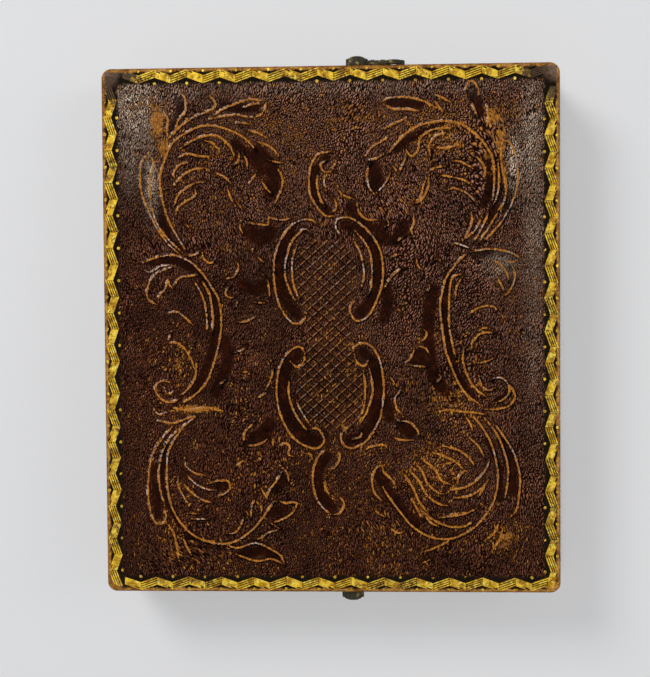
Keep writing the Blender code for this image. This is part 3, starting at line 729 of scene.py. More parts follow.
cover = {
    "edgeRound": 0.8 * mm,
    "corner": 1.8 * mm,
    "cornerLeast": 0.6 * mm,
    "band": 4.2 * mm,
    "shoulder": 11.0 * mm,
    "shoulderRise": 2.0 * mm,
    "shoulderEase": 1.5,
    "crown": 12.0 * mm,
    "crownRise": 0.2 * mm,
    "cornerGrowthShare": 0.55,
    "leather": 0.5 * mm,
    "gridPitch": 0.17 * mm,
    "rasterPitch": 0.1 * mm,
    "ridgeHeight": 0.14 * mm,
    "ridgeWidth": 0.18 * mm,
    "ridgeReach": 0.7 * mm,
    "grooveDepth": 0.05 * mm,
    "grooveOffset": 0.42 * mm,
    "grooveWidth": 0.17 * mm,
    "stemHeight": 0.07 * mm,
    "latticeHeight": 0.045 * mm,
    "latticeWidth": 0.14 * mm,
    "latticePitch": 1.36 * mm,
    "latticeSlant": 42.0,
    "fadeLength": 1.2 * mm,
    "fadeLeast": 0.78,
    "waveHeight": 0.03 * mm,
    "waveLength": 5.2 * mm,
    "triangles": 178000,
    "onTopDepth": 0.3 * mm,
    "quietInset": 0.8 * mm,
    "quietWidth": 1.2 * mm,
    "arcSteps": 4,
    "underShares": (0.33, 0.66, 1.0),
    "halvings": 24,
    "pixel": 1 * mm / 5.54,  # a pixel of the photograph on the cover
    "linePitch": 0.35 * mm,
    "stemPitch": 0.5 * mm,
    "latticeSoftness": 0.5 * mm,
    "waveWays": ((1.0, 0.3), (-0.4, 1.1), (0.7, -0.8)),
}
bandHeight = caseHigh.z - cover["shoulderRise"] - cover["crownRise"]


def cornerAt(inset):
    grown = np.maximum(inset - cover["band"], 0) * cover["cornerGrowthShare"]
    return np.maximum(cover["corner"] - inset, cover["cornerLeast"]) + grown


def insetAt(x, y):
    # how far in from the case's outline the ring through each point lies, by halving
    low = np.zeros(np.shape(x))
    high = np.full(np.shape(x), halfX)
    for _ in range(cover["halvings"]):
        inset = (low + high) / 2
        corner = cornerAt(inset)
        across = np.abs(x) - (halfX - inset - corner)
        along = np.abs(y) - (halfY - inset - corner)
        outside = np.hypot(np.maximum(across, 0), np.maximum(along, 0))
        outside += np.minimum(np.maximum(across, along), 0) - corner
        low = np.where(outside < 0, inset, low)
        high = np.where(outside < 0, high, inset)
    return (low + high) / 2


def pillowHeight(inset):
    edge = np.clip(cover["edgeRound"] - inset, 0, cover["edgeRound"])
    height = bandHeight - cover["edgeRound"] + np.sqrt(cover["edgeRound"] ** 2 - edge ** 2)
    share = np.clip((inset - cover["band"]) / cover["shoulder"], 0, 1)
    height += cover["shoulderRise"] * np.sin(share * math.pi / 2) ** cover["shoulderEase"]
    share = np.clip((inset - cover["band"] - cover["shoulder"]) / cover["crown"], 0, 1)
    return height + cover["crownRise"] * np.sin(share * math.pi / 2)


def onCover(pixels):
    # where pixels of the photograph fall on the pillowed cover
    heights = np.full(len(pixels), caseHigh.z)
    for _ in range(3):
        places = pixelToPlane(pixels, heights)
        heights = pillowHeight(insetAt(places[:, 0], places[:, 1]))
    return places


def curveThrough(points, pitch):
    # a smooth line through the given points, about one pitch between its own
    points = np.asarray(points, float)
    ends = np.vstack((2 * points[0] - points[1], points, 2 * points[-1] - points[-2]))
    line = []
    for before, start, stop, after in zip(ends, ends[1:], ends[2:], ends[3:]):
        steps = max(int(np.linalg.norm(stop - start) / pitch), 1)
        share = np.arange(steps)[:, None] / steps
        line.append(0.5 * (2 * start + (stop - before) * share
                           + (2 * before - 5 * start + 4 * stop - after) * share ** 2
                           + (3 * start - before - 3 * stop + after) * share ** 3))
    return np.vstack((*line, points[-1:]))


class Raster:
    # values on a fine grid over the cover, written by lines and read back anywhere
    def __init__(self, pitch):
        self.pitch = pitch
        self.low = np.array((-halfX, -halfY))
        self.shape = (int(2 * halfX / pitch) + 2, int(2 * halfY / pitch) + 2)
        self.x = self.low[0] + np.arange(self.shape[0])[:, None] * pitch
        self.y = self.low[1] + np.arange(self.shape[1])[None, :] * pitch

    def window(self, low, high):
        first = np.clip(np.floor((low - self.low) / self.pitch).astype(int), 0, None)
        last = np.ceil((high - self.low) / self.pitch).astype(int) + 1
        return slice(first[0], last[0]), slice(first[1], last[1])

    def nearLines(self, lines, reach, fade=0.0):
        # the distance to the nearest line, and how strong that line is there
        near = np.full(self.shape, reach)
        power = np.zeros(self.shape)
        for line in lines:
            steps = np.linalg.norm(np.diff(line, axis=0), axis=1)
            passed = np.concatenate(((0.0,), np.cumsum(steps)))
            for index, (start, stop) in enumerate(zip(line, line[1:])):
                rows, columns = self.window(np.minimum(start, stop) - reach,
                                            np.maximum(start, stop) + reach)
                run = stop - start
                offX = self.x[rows] - start[0]
                offY = self.y[:, columns] - start[1]
                share = np.clip((offX * run[0] + offY * run[1]) / max(run @ run, 1e-18), 0, 1)
                away = np.hypot(offX - run[0] * share, offY - run[1] * share)
                closer = away < near[rows, columns]
                near[rows, columns][closer] = away[closer]
                strength = 1.0
                if fade:
                    toEnd = min(passed[index], passed[-1] - passed[index + 1]) / fade
                    strength = min(cover["fadeLeast"] + (1 - cover["fadeLeast"]) * toEnd, 1.0)
                power[rows, columns][closer] = strength
        return near, power

    def inside(self, outline):
        # even-odd test of every grid point against a closed outline
        odd = np.zeros(self.shape, bool)
        for start, stop in zip(outline, np.roll(outline, -1, axis=0)):
            crossing = (start[1] > self.y) != (stop[1] > self.y)
            rise = stop[1] - start[1]
            if rise == 0:
                continue
            odd ^= crossing & (self.x < start[0] + (self.y - start[1]) * (stop[0] - start[0]) / rise)
        return odd.astype(float)

    def soften(self, values, radius):
        # two passes of a running mean each way
        reach = max(int(radius / self.pitch), 1)
        for _ in range(2):
            for axis in (0, 1):
                margins = [(reach + 1, reach) if side == axis else (0, 0) for side in (0, 1)]
                padded = np.pad(values, margins, "edge")
                total = np.cumsum(padded, axis=axis)
                count = values.shape[axis]
                upper = np.take(total, np.arange(count) + 2 * reach + 1, axis=axis)
                lower = np.take(total, np.arange(count), axis=axis)
                values = (upper - lower) / (2 * reach + 1)
        return values

    def read(self, values, x, y):
        across = np.clip((x - self.low[0]) / self.pitch, 0, self.shape[0] - 1.001)
        along = np.clip((y - self.low[1]) / self.pitch, 0, self.shape[1] - 1.001)
        column, row = across.astype(int), along.astype(int)
        across, along = across - column, along - row
        near = values[column, row] * (1 - across) + values[column + 1, row] * across
        far = values[column, row + 1] * (1 - across) + values[column + 1, row + 1] * across
        return near * (1 - along) + far * along


def bell(distance, width):
    return np.exp(-(distance / width) ** 2)


def makeRelief():
    raster = Raster(cover["rasterPitch"])
    pixel = cover["pixel"]
    lines = [curveThrough(onCover(stroke), cover["linePitch"]) for stroke in ornament]
    near, power = raster.nearLines(lines, cover["ridgeReach"] * 1.4, cover["fadeLength"])
    ridge = power * bell(near, cover["ridgeWidth"])
    groove = power * bell(near - cover["grooveOffset"], cover["grooveWidth"])

    stem = np.zeros(raster.shape)
    for middle, width in smoothStems:
        width = width * pixel
        away, _ = raster.nearLines([curveThrough(onCover(middle), cover["stemPitch"])], width * 1.5)
        share = np.clip((width * 1.3 - away) / (width * 0.7), 0, 1)
        stem = np.maximum(stem, share * share * (3 - 2 * share))

    lattice = raster.soften(raster.inside(onCover(latticeOutline)), cover["latticeSoftness"])
    lattice = np.clip(lattice * 1.6 - 0.3, 0, 1) * (1 - stem)
    slant = math.radians(cover["latticeSlant"])
    net = np.zeros(raster.shape)
    for side in (-1, 1):
        across = raster.x * math.sin(slant) + side * raster.y * math.cos(slant)
        turns = across / cover["latticePitch"]
        away = np.abs(turns - np.round(turns)) * cover["latticePitch"]
        net = np.maximum(net, bell(away, cover["latticeWidth"]))
    net *= lattice

    def patches(listed):
        mask = np.zeros(raster.shape)
        for centre, (width, height), amount in listed:
            place = onCover([centre])[0]
            across, along = (raster.x - place[0]) / width, (raster.y - place[1]) / height
            mask = np.maximum(mask, amount * np.exp(-0.8 * (across ** 2 + along ** 2) / pixel ** 2))
        return mask

    height = cover["ridgeHeight"] * ridge - cover["grooveDepth"] * groove * (1 - ridge)
    height += cover["stemHeight"] * stem + cover["latticeHeight"] * net
    turn = math.tau / cover["waveLength"]
    for across, along in cover["waveWays"]:
        wave = np.sin(turn * (across * raster.x + along * raster.y) + across)
        height = height + cover["waveHeight"] / 3 * wave
    tent = power * np.clip(1 - near / cover["ridgeReach"], 0, 1)
    return raster, {"height": height, "ridge": tent, "stem": stem, "lattice": lattice,
                    "rubbed": patches(rubbed), "paintedSheenMask": patches(paintedSheen)}


def ringPlaces(rim, inset, height):
    # the rim's points moved onto the ring that lies inset from the outline
    corner = cover["corner"] - cover["edgeRound"]
    core = np.array((halfX - cover["edgeRound"] - corner, halfY - cover["edgeRound"] - corner))
    held = np.clip(rim[:, :2], -core, core)
    out = rim[:, :2] - held
    out /= np.maximum(np.linalg.norm(out, axis=1), 1e-9)[:, None]
    newCorner = float(cornerAt(np.array(inset)))
    newCore = np.array((halfX - inset - newCorner, halfY - inset - newCorner))
    flat = held * newCore / core + out * newCorner
    return np.column_stack((flat, np.full(len(rim), height)))


def makeCoverLeather(raster, relief):
    # a grid shaped like the cover, then its edge drawn down, in and under in edit mode
    gridX, gridY = halfX - cover["edgeRound"], halfY - cover["edgeRound"]
    columns, rows = (int(2 * side / cover["gridPitch"]) for side in (gridX, gridY))
    clearSelection()
    bpy.ops.mesh.primitive_grid_add(x_subdivisions=columns, y_subdivisions=rows, size=1)
    item = newest("cover_leather")
    places = coordinates(item.data) * (2 * gridX, 2 * gridY, 1)
    corner = cover["corner"] - cover["edgeRound"]
    side = np.sign(places[:, :2])
    start = np.array((gridX, gridY)) - corner
    past = np.clip(np.abs(places[:, :2]) - start, 0, None) / corner
    rounded = past * np.sqrt(1 - past[:, ::-1] ** 2 / 2) * corner
    places[:, :2] = side * (np.minimum(np.abs(places[:, :2]), start) + rounded)
    inset = insetAt(places[:, 0], places[:, 1])
    places[:, 2] = pillowHeight(inset)
    quiet = np.clip((inset - cover["quietInset"]) / cover["quietWidth"], 0, 1)
    places[:, 2] += raster.read(relief["height"], places[:, 0], places[:, 1]) * quiet
    moveTo(item.data, places)

    arcSteps = cover["arcSteps"]
    profile = []
    for step in range(1, arcSteps + 1):
        angle = math.pi / 2 * step / arcSteps
        profile.append((cover["edgeRound"] * (1 - math.sin(angle)),
                        bandHeight - cover["edgeRound"] * (1 - math.cos(angle))))
    thick = cover["leather"]
    profile += [(0.0, coverSkirtLow), (thick, coverSkirtLow), (thick, bandHeight - cover["edgeRound"]),
                (cover["edgeRound"], bandHeight - thick), (cover["band"], bandHeight - thick)]
    for share in cover["underShares"]:
        inset = cover["band"] + cover["shoulder"] * share
        profile.append((inset, float(pillowHeight(np.array(inset))) - thick))
    pick(item)
    bpy.ops.object.mode_set(mode="EDIT")
    bpy.ops.mesh.select_mode(type="EDGE")
    bpy.ops.mesh.select_all(action="DESELECT")
    bpy.ops.mesh.select_non_manifold(extend=False, use_wire=False, use_multi_face=False,
                                     use_non_contiguous=False, use_verts=False)
    rim = None
    for inset, height in profile:
        bpy.ops.mesh.extrude_edges_indiv()
        shape = bmesh.from_edit_mesh(item.data)
        moved = [vert for vert in shape.verts if vert.select]
        if rim is None:
            rim = np.array([vert.co for vert in moved])
        for vert, place in zip(moved, ringPlaces(rim, inset, height)):
            vert.co = place
        bmesh.update_edit_mesh(item.data)
    bpy.ops.mesh.edge_face_add()
    bpy.ops.mesh.quads_convert_to_tris()
    bpy.ops.object.mode_set(mode="OBJECT")

    item.data.calc_loop_triangles()
    thin = item.modifiers.new("thin", "DECIMATE")
    thin.ratio = cover["triangles"] / len(item.data.loop_triangles)
    applyAll(item)

    places = coordinates(item.data)
    onTop = places[:, 2] > bandHeight - cover["onTopDepth"]
    for name in ("ridge", "stem", "lattice", "rubbed", "paintedSheenMask"):
        mark(item, name, raster.read(relief[name], places[:, 0], places[:, 1]) * onTop)
    smooth(item, 50)
    return item


leather = {
    # the painted shade in the grain's creases
    "dark": (0.0050, 0.0019, 0.0012),
    "brown": (0.080, 0.0205, 0.0085),
    "red": (0.018, 0.0034, 0.0010),
    # the painted sheen's warmer red on the smooth leaves
    "stemSheenRed": (0.115, 0.0230, 0.0045),
    # the painted highlights' colour
    "lit": (0.460, 0.215, 0.135),
    # the painted highlights' pale colour
    "pale": (0.80, 0.60, 0.48),
    "tan": (0.56, 0.235, 0.040),
    "deepTan": (0.22, 0.070, 0.011),
    # the painted sheen's colour
    "grey": (0.88, 0.67, 0.49),
    "grainWidth": 0.30,
    "grainLength": 0.84,
    "grainTurn": -0.30,
    "grainDepth": 0.30 * mm,
    # the slow curves of the pebbles' rows, then their smaller bends: how many, and how far they go
    "swayScale": 0.045,
    "sway": 14.0,
    "bendScale": 0.25,
    "bend": 1.5,
    "lightStep": (-0.13, 0.13, 0.0),
    "specular": 0.015,
    # ramps for the lattice's lines and for the painted shade beside them, and that shade's offset
    "netLine": (0.14, 0.03),
    "gutterLine": (0.25, 0.09),
    "gutterPlace": 0.21,
    "ground": (0.012, 0.008, 0.005),
    "scuff": ((0.060, 0.030, 0.018), (0.190, 0.125, 0.090)),
    "bareEdge": ((0.26, 0.090, 0.016), (0.66, 0.330, 0.080)),
    # where the edge's looks begin and end, in millimetres in from the sides or from a corner
    "groundReach": (3.3, 2.7),
    "bareReach": (0.95, 0.45),
    "tanCorner": (3.6, 1.8),
    "greyCorner": (4.4, 2.8),
    # the same by height
    "edgeHeights": (16.7, 16.2),
    "fadeHeights": (15.5, 16.6),
}


def fromEdges(x, y):
    # how far in from the case's sides a place lies, in millimetres
    return halfX / mm - abs(x), halfY / mm - abs(y)


# Pebbled leather: its pebbles, a chance value for each, a finer mottling and which slopes face the light
def leatherGrain(finish, turned=0.0, stretch=(1.0, 1.0, 1.0)):
    place = finish.position(stretch)
    slow = finish.noise(place, leather["swayScale"], 1.0, output=1)
    swayed = finish.shifted(place, slow, leather["sway"])
    bent = finish.shifted(swayed, finish.noise(place, leather["bendScale"], 2.0, output=1), leather["bend"])
    width, length = leather["grainWidth"], leather["grainLength"]
    settings = {"Rotation": (0, 0, turned), "Scale": (1 / width, 1 / length, 1 / width)}

    def grainAt(shift):
        moved = finish.vectors("ADD", bent, shift)
        mapped = finish.node("ShaderNodeMapping", {"vector_type": "POINT"}, {"Vector": moved, **settings})
        pebble = finish.cells(mapped, 1.0, "DISTANCE_TO_EDGE").ramp(0.0, 0.34)
        fine = finish.noise(mapped, 1.9, 3.0, 0.65)
        return mapped, pebble, fine, pebble * 0.5 + fine * 1.1

    mapped, pebble, fine, height = grainAt((0.0, 0.0, 0.0))
    facing = height - grainAt(leather["lightStep"])[3]
    chance = finish.parts(finish.cells(mapped, 1.0, output=1))[0]
    return place, mapped, pebble, chance, fine, facing


def coverLeatherFinish():
    finish = Finish("embossed_leather")
    place, mapped, pebble, chance, fine, facing = leatherGrain(finish, leather["grainTurn"])
    x, y, z = finish.parts(place)
    ridge, stem, lattice = (finish.attribute(name) for name in ("ridge", "stem", "lattice"))
    rubbedMask, paintedSheenMask = finish.attribute("rubbed"), finish.attribute("paintedSheenMask")
    normalX, normalY = finish.parts(finish.node("ShaderNodeTexCoord", output=1))[:2]
    # how far the surface turns towards the upper left light, used for painted shade and highlights
    tilt = (normalY - normalX) * 0.707
    large = finish.noise(place, 0.06, 3.0)
    middle = finish.noise(place, 0.30, 3.0)
    speck = finish.noise(mapped, 1.15, 3.0, 0.65)
    broken = finish.noise(place, 0.85, 3.0, 0.6)
    ragged = finish.noise(place, 2.3, 3.0, 0.65)

    # the lattice's lines where the embossing has them, those rising to the right brighter as a painted
    # highlight and the falling ones faint as painted shade, each cut by a band of painted shade beside the
    # others
    slant = math.radians(cover["latticeSlant"])
    pitch = cover["latticePitch"] / mm
    drawn = []
    for side in (-1, 1):
        turns = (x * math.sin(slant) + y * (side * math.cos(slant))) / pitch + 0.5
        away = (turns.fraction() - 0.5) * pitch
        beside = abs(away + leather["gutterPlace"] * side)
        drawn.append((abs(away).ramp(*leather["netLine"]), beside.ramp(*leather["gutterLine"])))
    (rising, risingShade), (falling, fallingShade) = drawn
    faint = falling * (1 - risingShade * 0.95) * 0.20
    net = (rising * (1 - fallingShade * 0.95)).highest(faint) * lattice
    gutterShade = risingShade.highest(fallingShade) * lattice * (1 - net)

    edgeNoise = (broken - 0.5) * 0.38 + (ragged - 0.5) * 0.66 + rubbedMask * 0.12
    kept = (broken * 0.5 + middle * 0.7 + rubbedMask * 0.6 + (ragged - 0.5) * 0.5).ramp(0.50, 0.62)
    line = (ridge + edgeNoise).ramp(0.73, 0.81)
    thin = (ridge + edgeNoise * 0.5).ramp(0.80, 0.88)
    flank = ridge.ramp(0.20, 0.45)
    smoothed = (stem * (0.45 + middle * 0.7)).highest(flank * 0.8).highest(lattice * 0.60)

    # painted light on the grain: painted shade in the creases, lighter on the pebbles, and painted
    # highlights where a slope faces the window
    brown = finish.mix(large.ramp(0.28, 0.62), finish.tint(leather["brown"], 0.45), leather["brown"])
    # painted sheen: patches of warmer red over the smooth leaves' dark red
    paintedStemSheen = broken.ramp(0.46, 0.68) * ragged.ramp(0.36, 0.62) * 0.7
    stemRedAndSheen = finish.mix(paintedStemSheen, leather["red"], leather["stemSheenRed"])
    brown = finish.mix(stem * 0.85, brown, stemRedAndSheen)
    # painted shade in the creases and on slopes turned from the light
    creaseShading = (pebble * 0.50 + fine * 0.80 + facing * 0.45).ramp(0.40, 0.70)
    creaseShading = creaseShading + (1 - creaseShading) * smoothed * 0.60
    brown = finish.mix(creaseShading, leather["dark"], finish.tint(brown, 0.10 + fine * 1.30 + chance * 0.5))
    # painted shade on ridge flanks turned from the light and beside the lattice's lines; the smooth leaves
    # a little darker
    shaded = flank * (1 - line) * (0.40 + tilt.ramp(0.10, -0.30) * 0.60)
    shadeDimming = (1 - shaded) * (1 - gutterShade * 0.85) * (1 - stem * 0.30)
    brown = finish.tint(brown, (middle * 1.3 + 0.35) * shadeDimming)
    # painted highlights on slopes facing the window, stronger towards the head and the right side
    windowSide = (x * 0.010 + y * 0.012 + large * 0.9).ramp(0.10, 0.95)
    lit = (facing * 1.2 + fine * 0.45 + chance * 0.20).ramp(0.48, 0.74)
    lit = lit * (1 - smoothed) * (1 - stem * 0.9)
    lit = lit * (0.24 + windowSide * 0.66) * (0.4 + middle * 1.1)
    brown = finish.mix(lit * 0.85, brown, leather["lit"])
    # painted sheen: greyish pale pebble tops in the listed patches, standing in for light reflected off the
    # shoulders
    paintedSheen = (pebble * 0.4 + fine * 0.7 + facing * 1.1).ramp(0.36, 0.76)
    paintedSheen = paintedSheenMask * paintedSheen * (0.45 + broken.ramp(0.36, 0.60) * 0.70)
    brown = finish.mix(paintedSheen * 0.95, brown, leather["grey"])

    wear = rubbedMask * 0.95 + (middle - 0.5) * 0.60 + (large - 0.5) * 0.45 + (fine - 0.5) * 0.5 + 0.09
    worn = (wear - chance * 0.9 - stem * 0.40).ramp(0.0, 0.14) * pebble.ramp(0.20, 0.65)
    bald = (rubbedMask * 1.20 + (speck - 0.5) * 1.5 + (broken - 0.5) * 1.0).ramp(0.68, 0.95)
    dashed = (speck - 0.5) * 1.6 + (large - 0.5) * 0.7 + rubbedMask * 0.5
    netRub = net * (0.30 + dashed).ramp(0.0, 0.5) * 0.90
    tanMask = (line * (0.12 + kept * 0.88)).highest(netRub).highest(worn * 0.9).highest(bald * 0.85)
    tan = finish.mix(speck.ramp(0.35, 0.65), leather["deepTan"], leather["tan"])
    tan = finish.tint(tan, 0.28 + fine * 1.55)
    # painted highlights: pale thin lines on unworn ridge crests, on ridge flanks turned to the light and on
    # the lattice's lines
    pale = thin * (1 - kept) * ragged.ramp(0.40, 0.55)
    highlightBreaks = ragged.ramp(0.44, 0.58) * broken.ramp(0.42, 0.60)
    pale = pale.highest(flank * tilt.ramp(0.22, 0.42) * highlightBreaks)
    pale = pale.highest(net * (0.5 - dashed).ramp(0.42, 0.85) * ragged.ramp(0.40, 0.60) * 0.80)
    colour = finish.mix(tanMask, brown, tan)
    colour = finish.mix(pale * 0.85, colour, leather["pale"])

    # the gilt roll's black ground, and the bare leather along the edge and at the corners
    across, along = fromEdges(x, y)
    inset = across.lowest(along)
    wavering = inset + (broken - 0.5) * 1.3
    ground = inset.ramp(0.25, 0.55) * wavering.ramp(*leather["groundReach"])
    # the corners at the foot are rubbed tan, those at the head are scuffed grey
    corner = (across ** 2 + along ** 2) ** 0.5 + (broken - 0.5) * 3.0
    headShare = y * 0.010 + 0.53
    bare = wavering.ramp(*leather["bareReach"]).highest(z.ramp(*leather["edgeHeights"]))
    bare = bare * ((z + (broken - 0.5) * 1.6).ramp(*leather["fadeHeights"]) * 0.80 + 0.20)
    bare = bare.highest(corner.ramp(*leather["tanCorner"]) * (1 - headShare))
    scuffed = corner.ramp(*leather["greyCorner"]) * headShare
    black = finish.tint(leather["ground"], 0.4 + ragged)
    scuff = finish.mix(broken.ramp(0.35, 0.65), *leather["scuff"])
    edge = finish.mix(finish.noise(place, 0.5, 4.0, 0.7).ramp(0.35, 0.65), *leather["bareEdge"])
    edge = finish.tint(edge, 0.15 + ragged * 1.5)
    colour = finish.mix(ground, colour, black)
    colour = finish.mix(scuffed * 0.9, colour, scuff)
    colour = finish.mix(bare * 0.92, colour, edge)

    roughness = 0.52 - smoothed * 0.08 + tanMask * 0.20 + (1 - pebble) * 0.12 + bare * 0.25
    quiet = (1 - smoothed * 0.75) * (1 - ground * 0.75)
    relief = finish.bump((pebble * 0.5 + fine * 0.8) * quiet + net * 0.25, leather["grainDepth"])
    small = finish.bump(finish.noise(place, 9.0, 3.0), 0.008 * mm, normal=relief)
    coat = (lit * 0.25 + paintedSheen * 0.40 + stem * 0.02) * (1 - tanMask * 0.8) * (1 - ground)
    return finish.set(Base_Color=colour, Roughness=roughness, Normal=small, Coat_Weight=coat,
                      Coat_Roughness=0.30, Specular_IOR_Level=leather["specular"])


gilt = {
    "bright": (1.0, 0.65, 0.050),
    "deep": (0.44, 0.21, 0.010),
    # the painted glints' colour
    "glint": (1.0, 0.78, 0.13),
    "bare": (0.045, 0.021, 0.004),
    "cornerReach": (9.0, 3.5),  # the corners' wear, in millimetres from the corner
    "wornAway": (0.635, 0.76),
}


def goldFinish():
    finish = Finish("gold_leaf")
    place = finish.position()
    x, y = finish.parts(place)[:2]
    across, along = fromEdges(x, y)
    worn = finish.noise(place, 1.7, 4.0, 0.65)
    scratch = finish.noise(place, 5.5, 3.0, 0.6)
    patchy = finish.noise(place, 0.12, 2.0)
    corner = ((across ** 2 + along ** 2) ** 0.5).ramp(*gilt["cornerReach"]) * (y * 0.011 + 0.45)
    bare = (worn * 0.66 + scratch * 0.34 + patchy * 0.26 + corner * 0.22).ramp(*gilt["wornAway"])
    bright = finish.mix(finish.noise(place, 0.7, 3.0).ramp(0.35, 0.65), gilt["bright"], gilt["deep"])
    # painted glints: brighter yellow spots standing in for highlights on the leaf
    bright = finish.mix(finish.noise(place, 1.3, 3.0, 0.65).ramp(0.54, 0.66), bright, gilt["glint"])
    colour = finish.mix(bare, finish.tint(bright, 0.10 + scratch * 1.6), gilt["bare"])
    dents = finish.bump(finish.noise(place, 3.2, 3.0) * 0.7 + scratch * 0.3, 0.03 * mm)
    return finish.set(Base_Color=colour, Metallic=0.88 - bare * 0.75,
                      Roughness=0.36 + scratch * 0.16 + bare * 0.2, Normal=dents)


def floorFinish():
    finish = Finish("floor_board")
    place = finish.position()
    tone = finish.noise(place, 0.01, 2.0) * 0.03 + finish.noise(place, 0.6, 4.0, 0.7) * 0.02
    colour = finish.tint(studio["floorTone"], 0.965 + tone)
    return finish.set(Base_Color=colour, Roughness=0.85)


def plainWorld():
    # a weak even light on the object, and a pale background for the camera, metal and glass
    world = bpy.data.worlds.new("studio")
    bpy.context.scene.world = world
    world.use_nodes = True
    tree = world.node_tree
    glow = tree.nodes["Background"]
    path = tree.nodes.new("ShaderNodeLightPath")
    seen = tree.nodes.new("ShaderNodeVectorMath")
    seen.operation = "LENGTH"
    joined = tree.nodes.new("ShaderNodeCombineXYZ")
    for index, ray in enumerate(("Is Camera Ray", "Is Glossy Ray", "Is Transmission Ray")):
        tree.links.new(path.outputs[ray], joined.inputs[index])
    tree.links.new(joined.outputs[0], seen.inputs[0])
    strength = tree.nodes.new("ShaderNodeMix")
    strength.inputs[2].default_value = studio["ambient"]
    strength.inputs[3].default_value = studio["background"]
    tree.links.new(seen.outputs["Value"], strength.inputs[0])
    tree.links.new(strength.outputs[0], glow.inputs["Strength"])
    glow.inputs["Color"].default_value = (*studio["worldTone"], 1.0)


roll = {
    "ribbon": 1.45 * mm,
    "outer": 1.10 * mm,
    "inner": 2.12 * mm,
    "dotRadius": 0.27 * mm,
    "outerDot": 0.62 * mm,
    "innerDot": 2.85 * mm,
    "stripes": 4,
    "stripeShare": 0.60,
    "joint": 0.07 * mm,
    "thickness": 0.025 * mm,
    "proud": 0.012 * mm,
    "seed": 18,
    "depthPlay": 0.06 * mm,
    "widthPlay": (0.94, 1.03),
    "dotPlay": (0.75, 1.12),
    # each side's first solid tile, going clockwise, the pixel its last one reaches, and its half tiles
    "sides": {
        "head": ((122, 76), (548, 69), 0, 26),
        "right": ((552, 86), (556, 572), 0, 31),
        "foot": ((532, 583), (141, 583), -1, 25),
        "left": ((113, 570), (109, 118), -1, 31),
    },
    "halves": {"head": 26, "right": 30, "foot": 24, "left": 28},
}


def makeTile(name, length, ribbon, rise, layers):
    # one flat tile of leaf, slanted by moving its far end, with the ribbon's own thickness
    clearSelection()
    bpy.ops.mesh.primitive_grid_add(x_subdivisions=2, y_subdivisions=layers, size=1)
    tile = newest(name)
    places = coordinates(tile.data) * (length, ribbon, 1)
    places[:, 0] += length / 2
    places[:, 1] += rise * places[:, 0] / length
    moveTo(tile.data, places)
    return tile


def makeHalves(step):
    # a solid tile going in and a striped one going out, each lying along +X from zero
    run = roll["inner"] - roll["outer"]
    length = step - roll["joint"]
    solid = makeTile("roll_solid", length, roll["ribbon"], run, 3)
    stripes = []
    pitch = roll["ribbon"] / (roll["stripes"] - 1 + roll["stripeShare"])
    for index in range(roll["stripes"]):
        stripe = makeTile("roll_stripe", length, pitch * roll["stripeShare"], -run, 1)
        places = coordinates(stripe.data)
        places[:, 1] += pitch * index - (roll["ribbon"] - pitch * roll["stripeShare"]) / 2
        moveTo(stripe.data, places)
        stripes.append(stripe)
    striped = gather(stripes, "roll_stripe")
    clearSelection()
    bpy.ops.mesh.primitive_circle_add(vertices=12, radius=roll["dotRadius"], fill_type="NGON")
    dot = newest("roll_dot")
    return solid, striped, dot


def makeGiltRoll():
    # tiles and dots laid along each side, joined, brought down on the leather and given their thickness
    draw = random.Random(roll["seed"])
    laid = []
    for side, (first, last, start, stop) in roll["sides"].items():
        ends = onCover([first, last])
        run = ends[1] - ends[0]
        if abs(run[0]) > abs(run[1]):
            run = np.array((run[0], 0.0))
            origin = np.array((ends[0][0], math.copysign(halfY, ends[0][1])))
        else:
            run = np.array((0.0, run[1]))
            origin = np.array((math.copysign(halfX, ends[0][0]), ends[0][1]))
        step = np.linalg.norm(run) / roll["halves"][side]
        along = run / np.linalg.norm(run)
        inward = np.array((along[1], -along[0]))
        solid, striped, dot = makeHalves(step)
        for index in range(start, stop):
            shape = striped if index % 2 else solid
            depth = roll["inner"] if index % 2 else roll["outer"]
            depth += draw.uniform(-1, 1) * roll["depthPlay"]
            place = origin + along * (step * index + roll["joint"] / 2) + inward * depth
            laid.append(laidCopy(shape, place, along, inward, draw.uniform(*roll["widthPlay"])))
            depth = roll["outerDot"] if index % 2 else roll["innerDot"]
            place = origin + along * step * index + inward * depth
            laid.append(laidCopy(dot, place, along, inward, draw.uniform(*roll["dotPlay"])))
        for model in (solid, striped, dot):
            bpy.data.objects.remove(model)
    item = gather(laid, "gilt_roll")
    places = coordinates(item.data)
    places[:, 2] = pillowHeight(insetAt(places[:, 0], places[:, 1])) + roll["proud"]
    moveTo(item.data, places)
    pick(item)
    bpy.ops.object.mode_set(mode="EDIT")
    bpy.ops.mesh.select_all(action="SELECT")
    bpy.ops.mesh.normals_make_consistent(inside=False)
    bpy.ops.object.mode_set(mode="OBJECT")
    if item.data.polygons[0].normal.z < 0:
        item.data.flip_normals()
    leaf = item.modifiers.new("leaf", "SOLIDIFY")
    leaf.thickness = roll["thickness"]
    leaf.offset = 1.0
    applyAll(item)
    return item


def laidCopy(shape, place, along, inward, scale):
    places = coordinates(shape.data)
    flat = place + along * places[:, :1] + inward * places[:, 1:2] * scale
    return copyAt(shape, np.column_stack((flat, places[:, 2])))


# The inner finishes: wood, card, velvet, brass, silver, glass and the leather of the sides
wood = {
    "pale": (0.66, 0.43, 0.21),
    "deep": (0.40, 0.215, 0.085),
    "ringPitch": 0.55,
    "alongShare": 0.045,
}


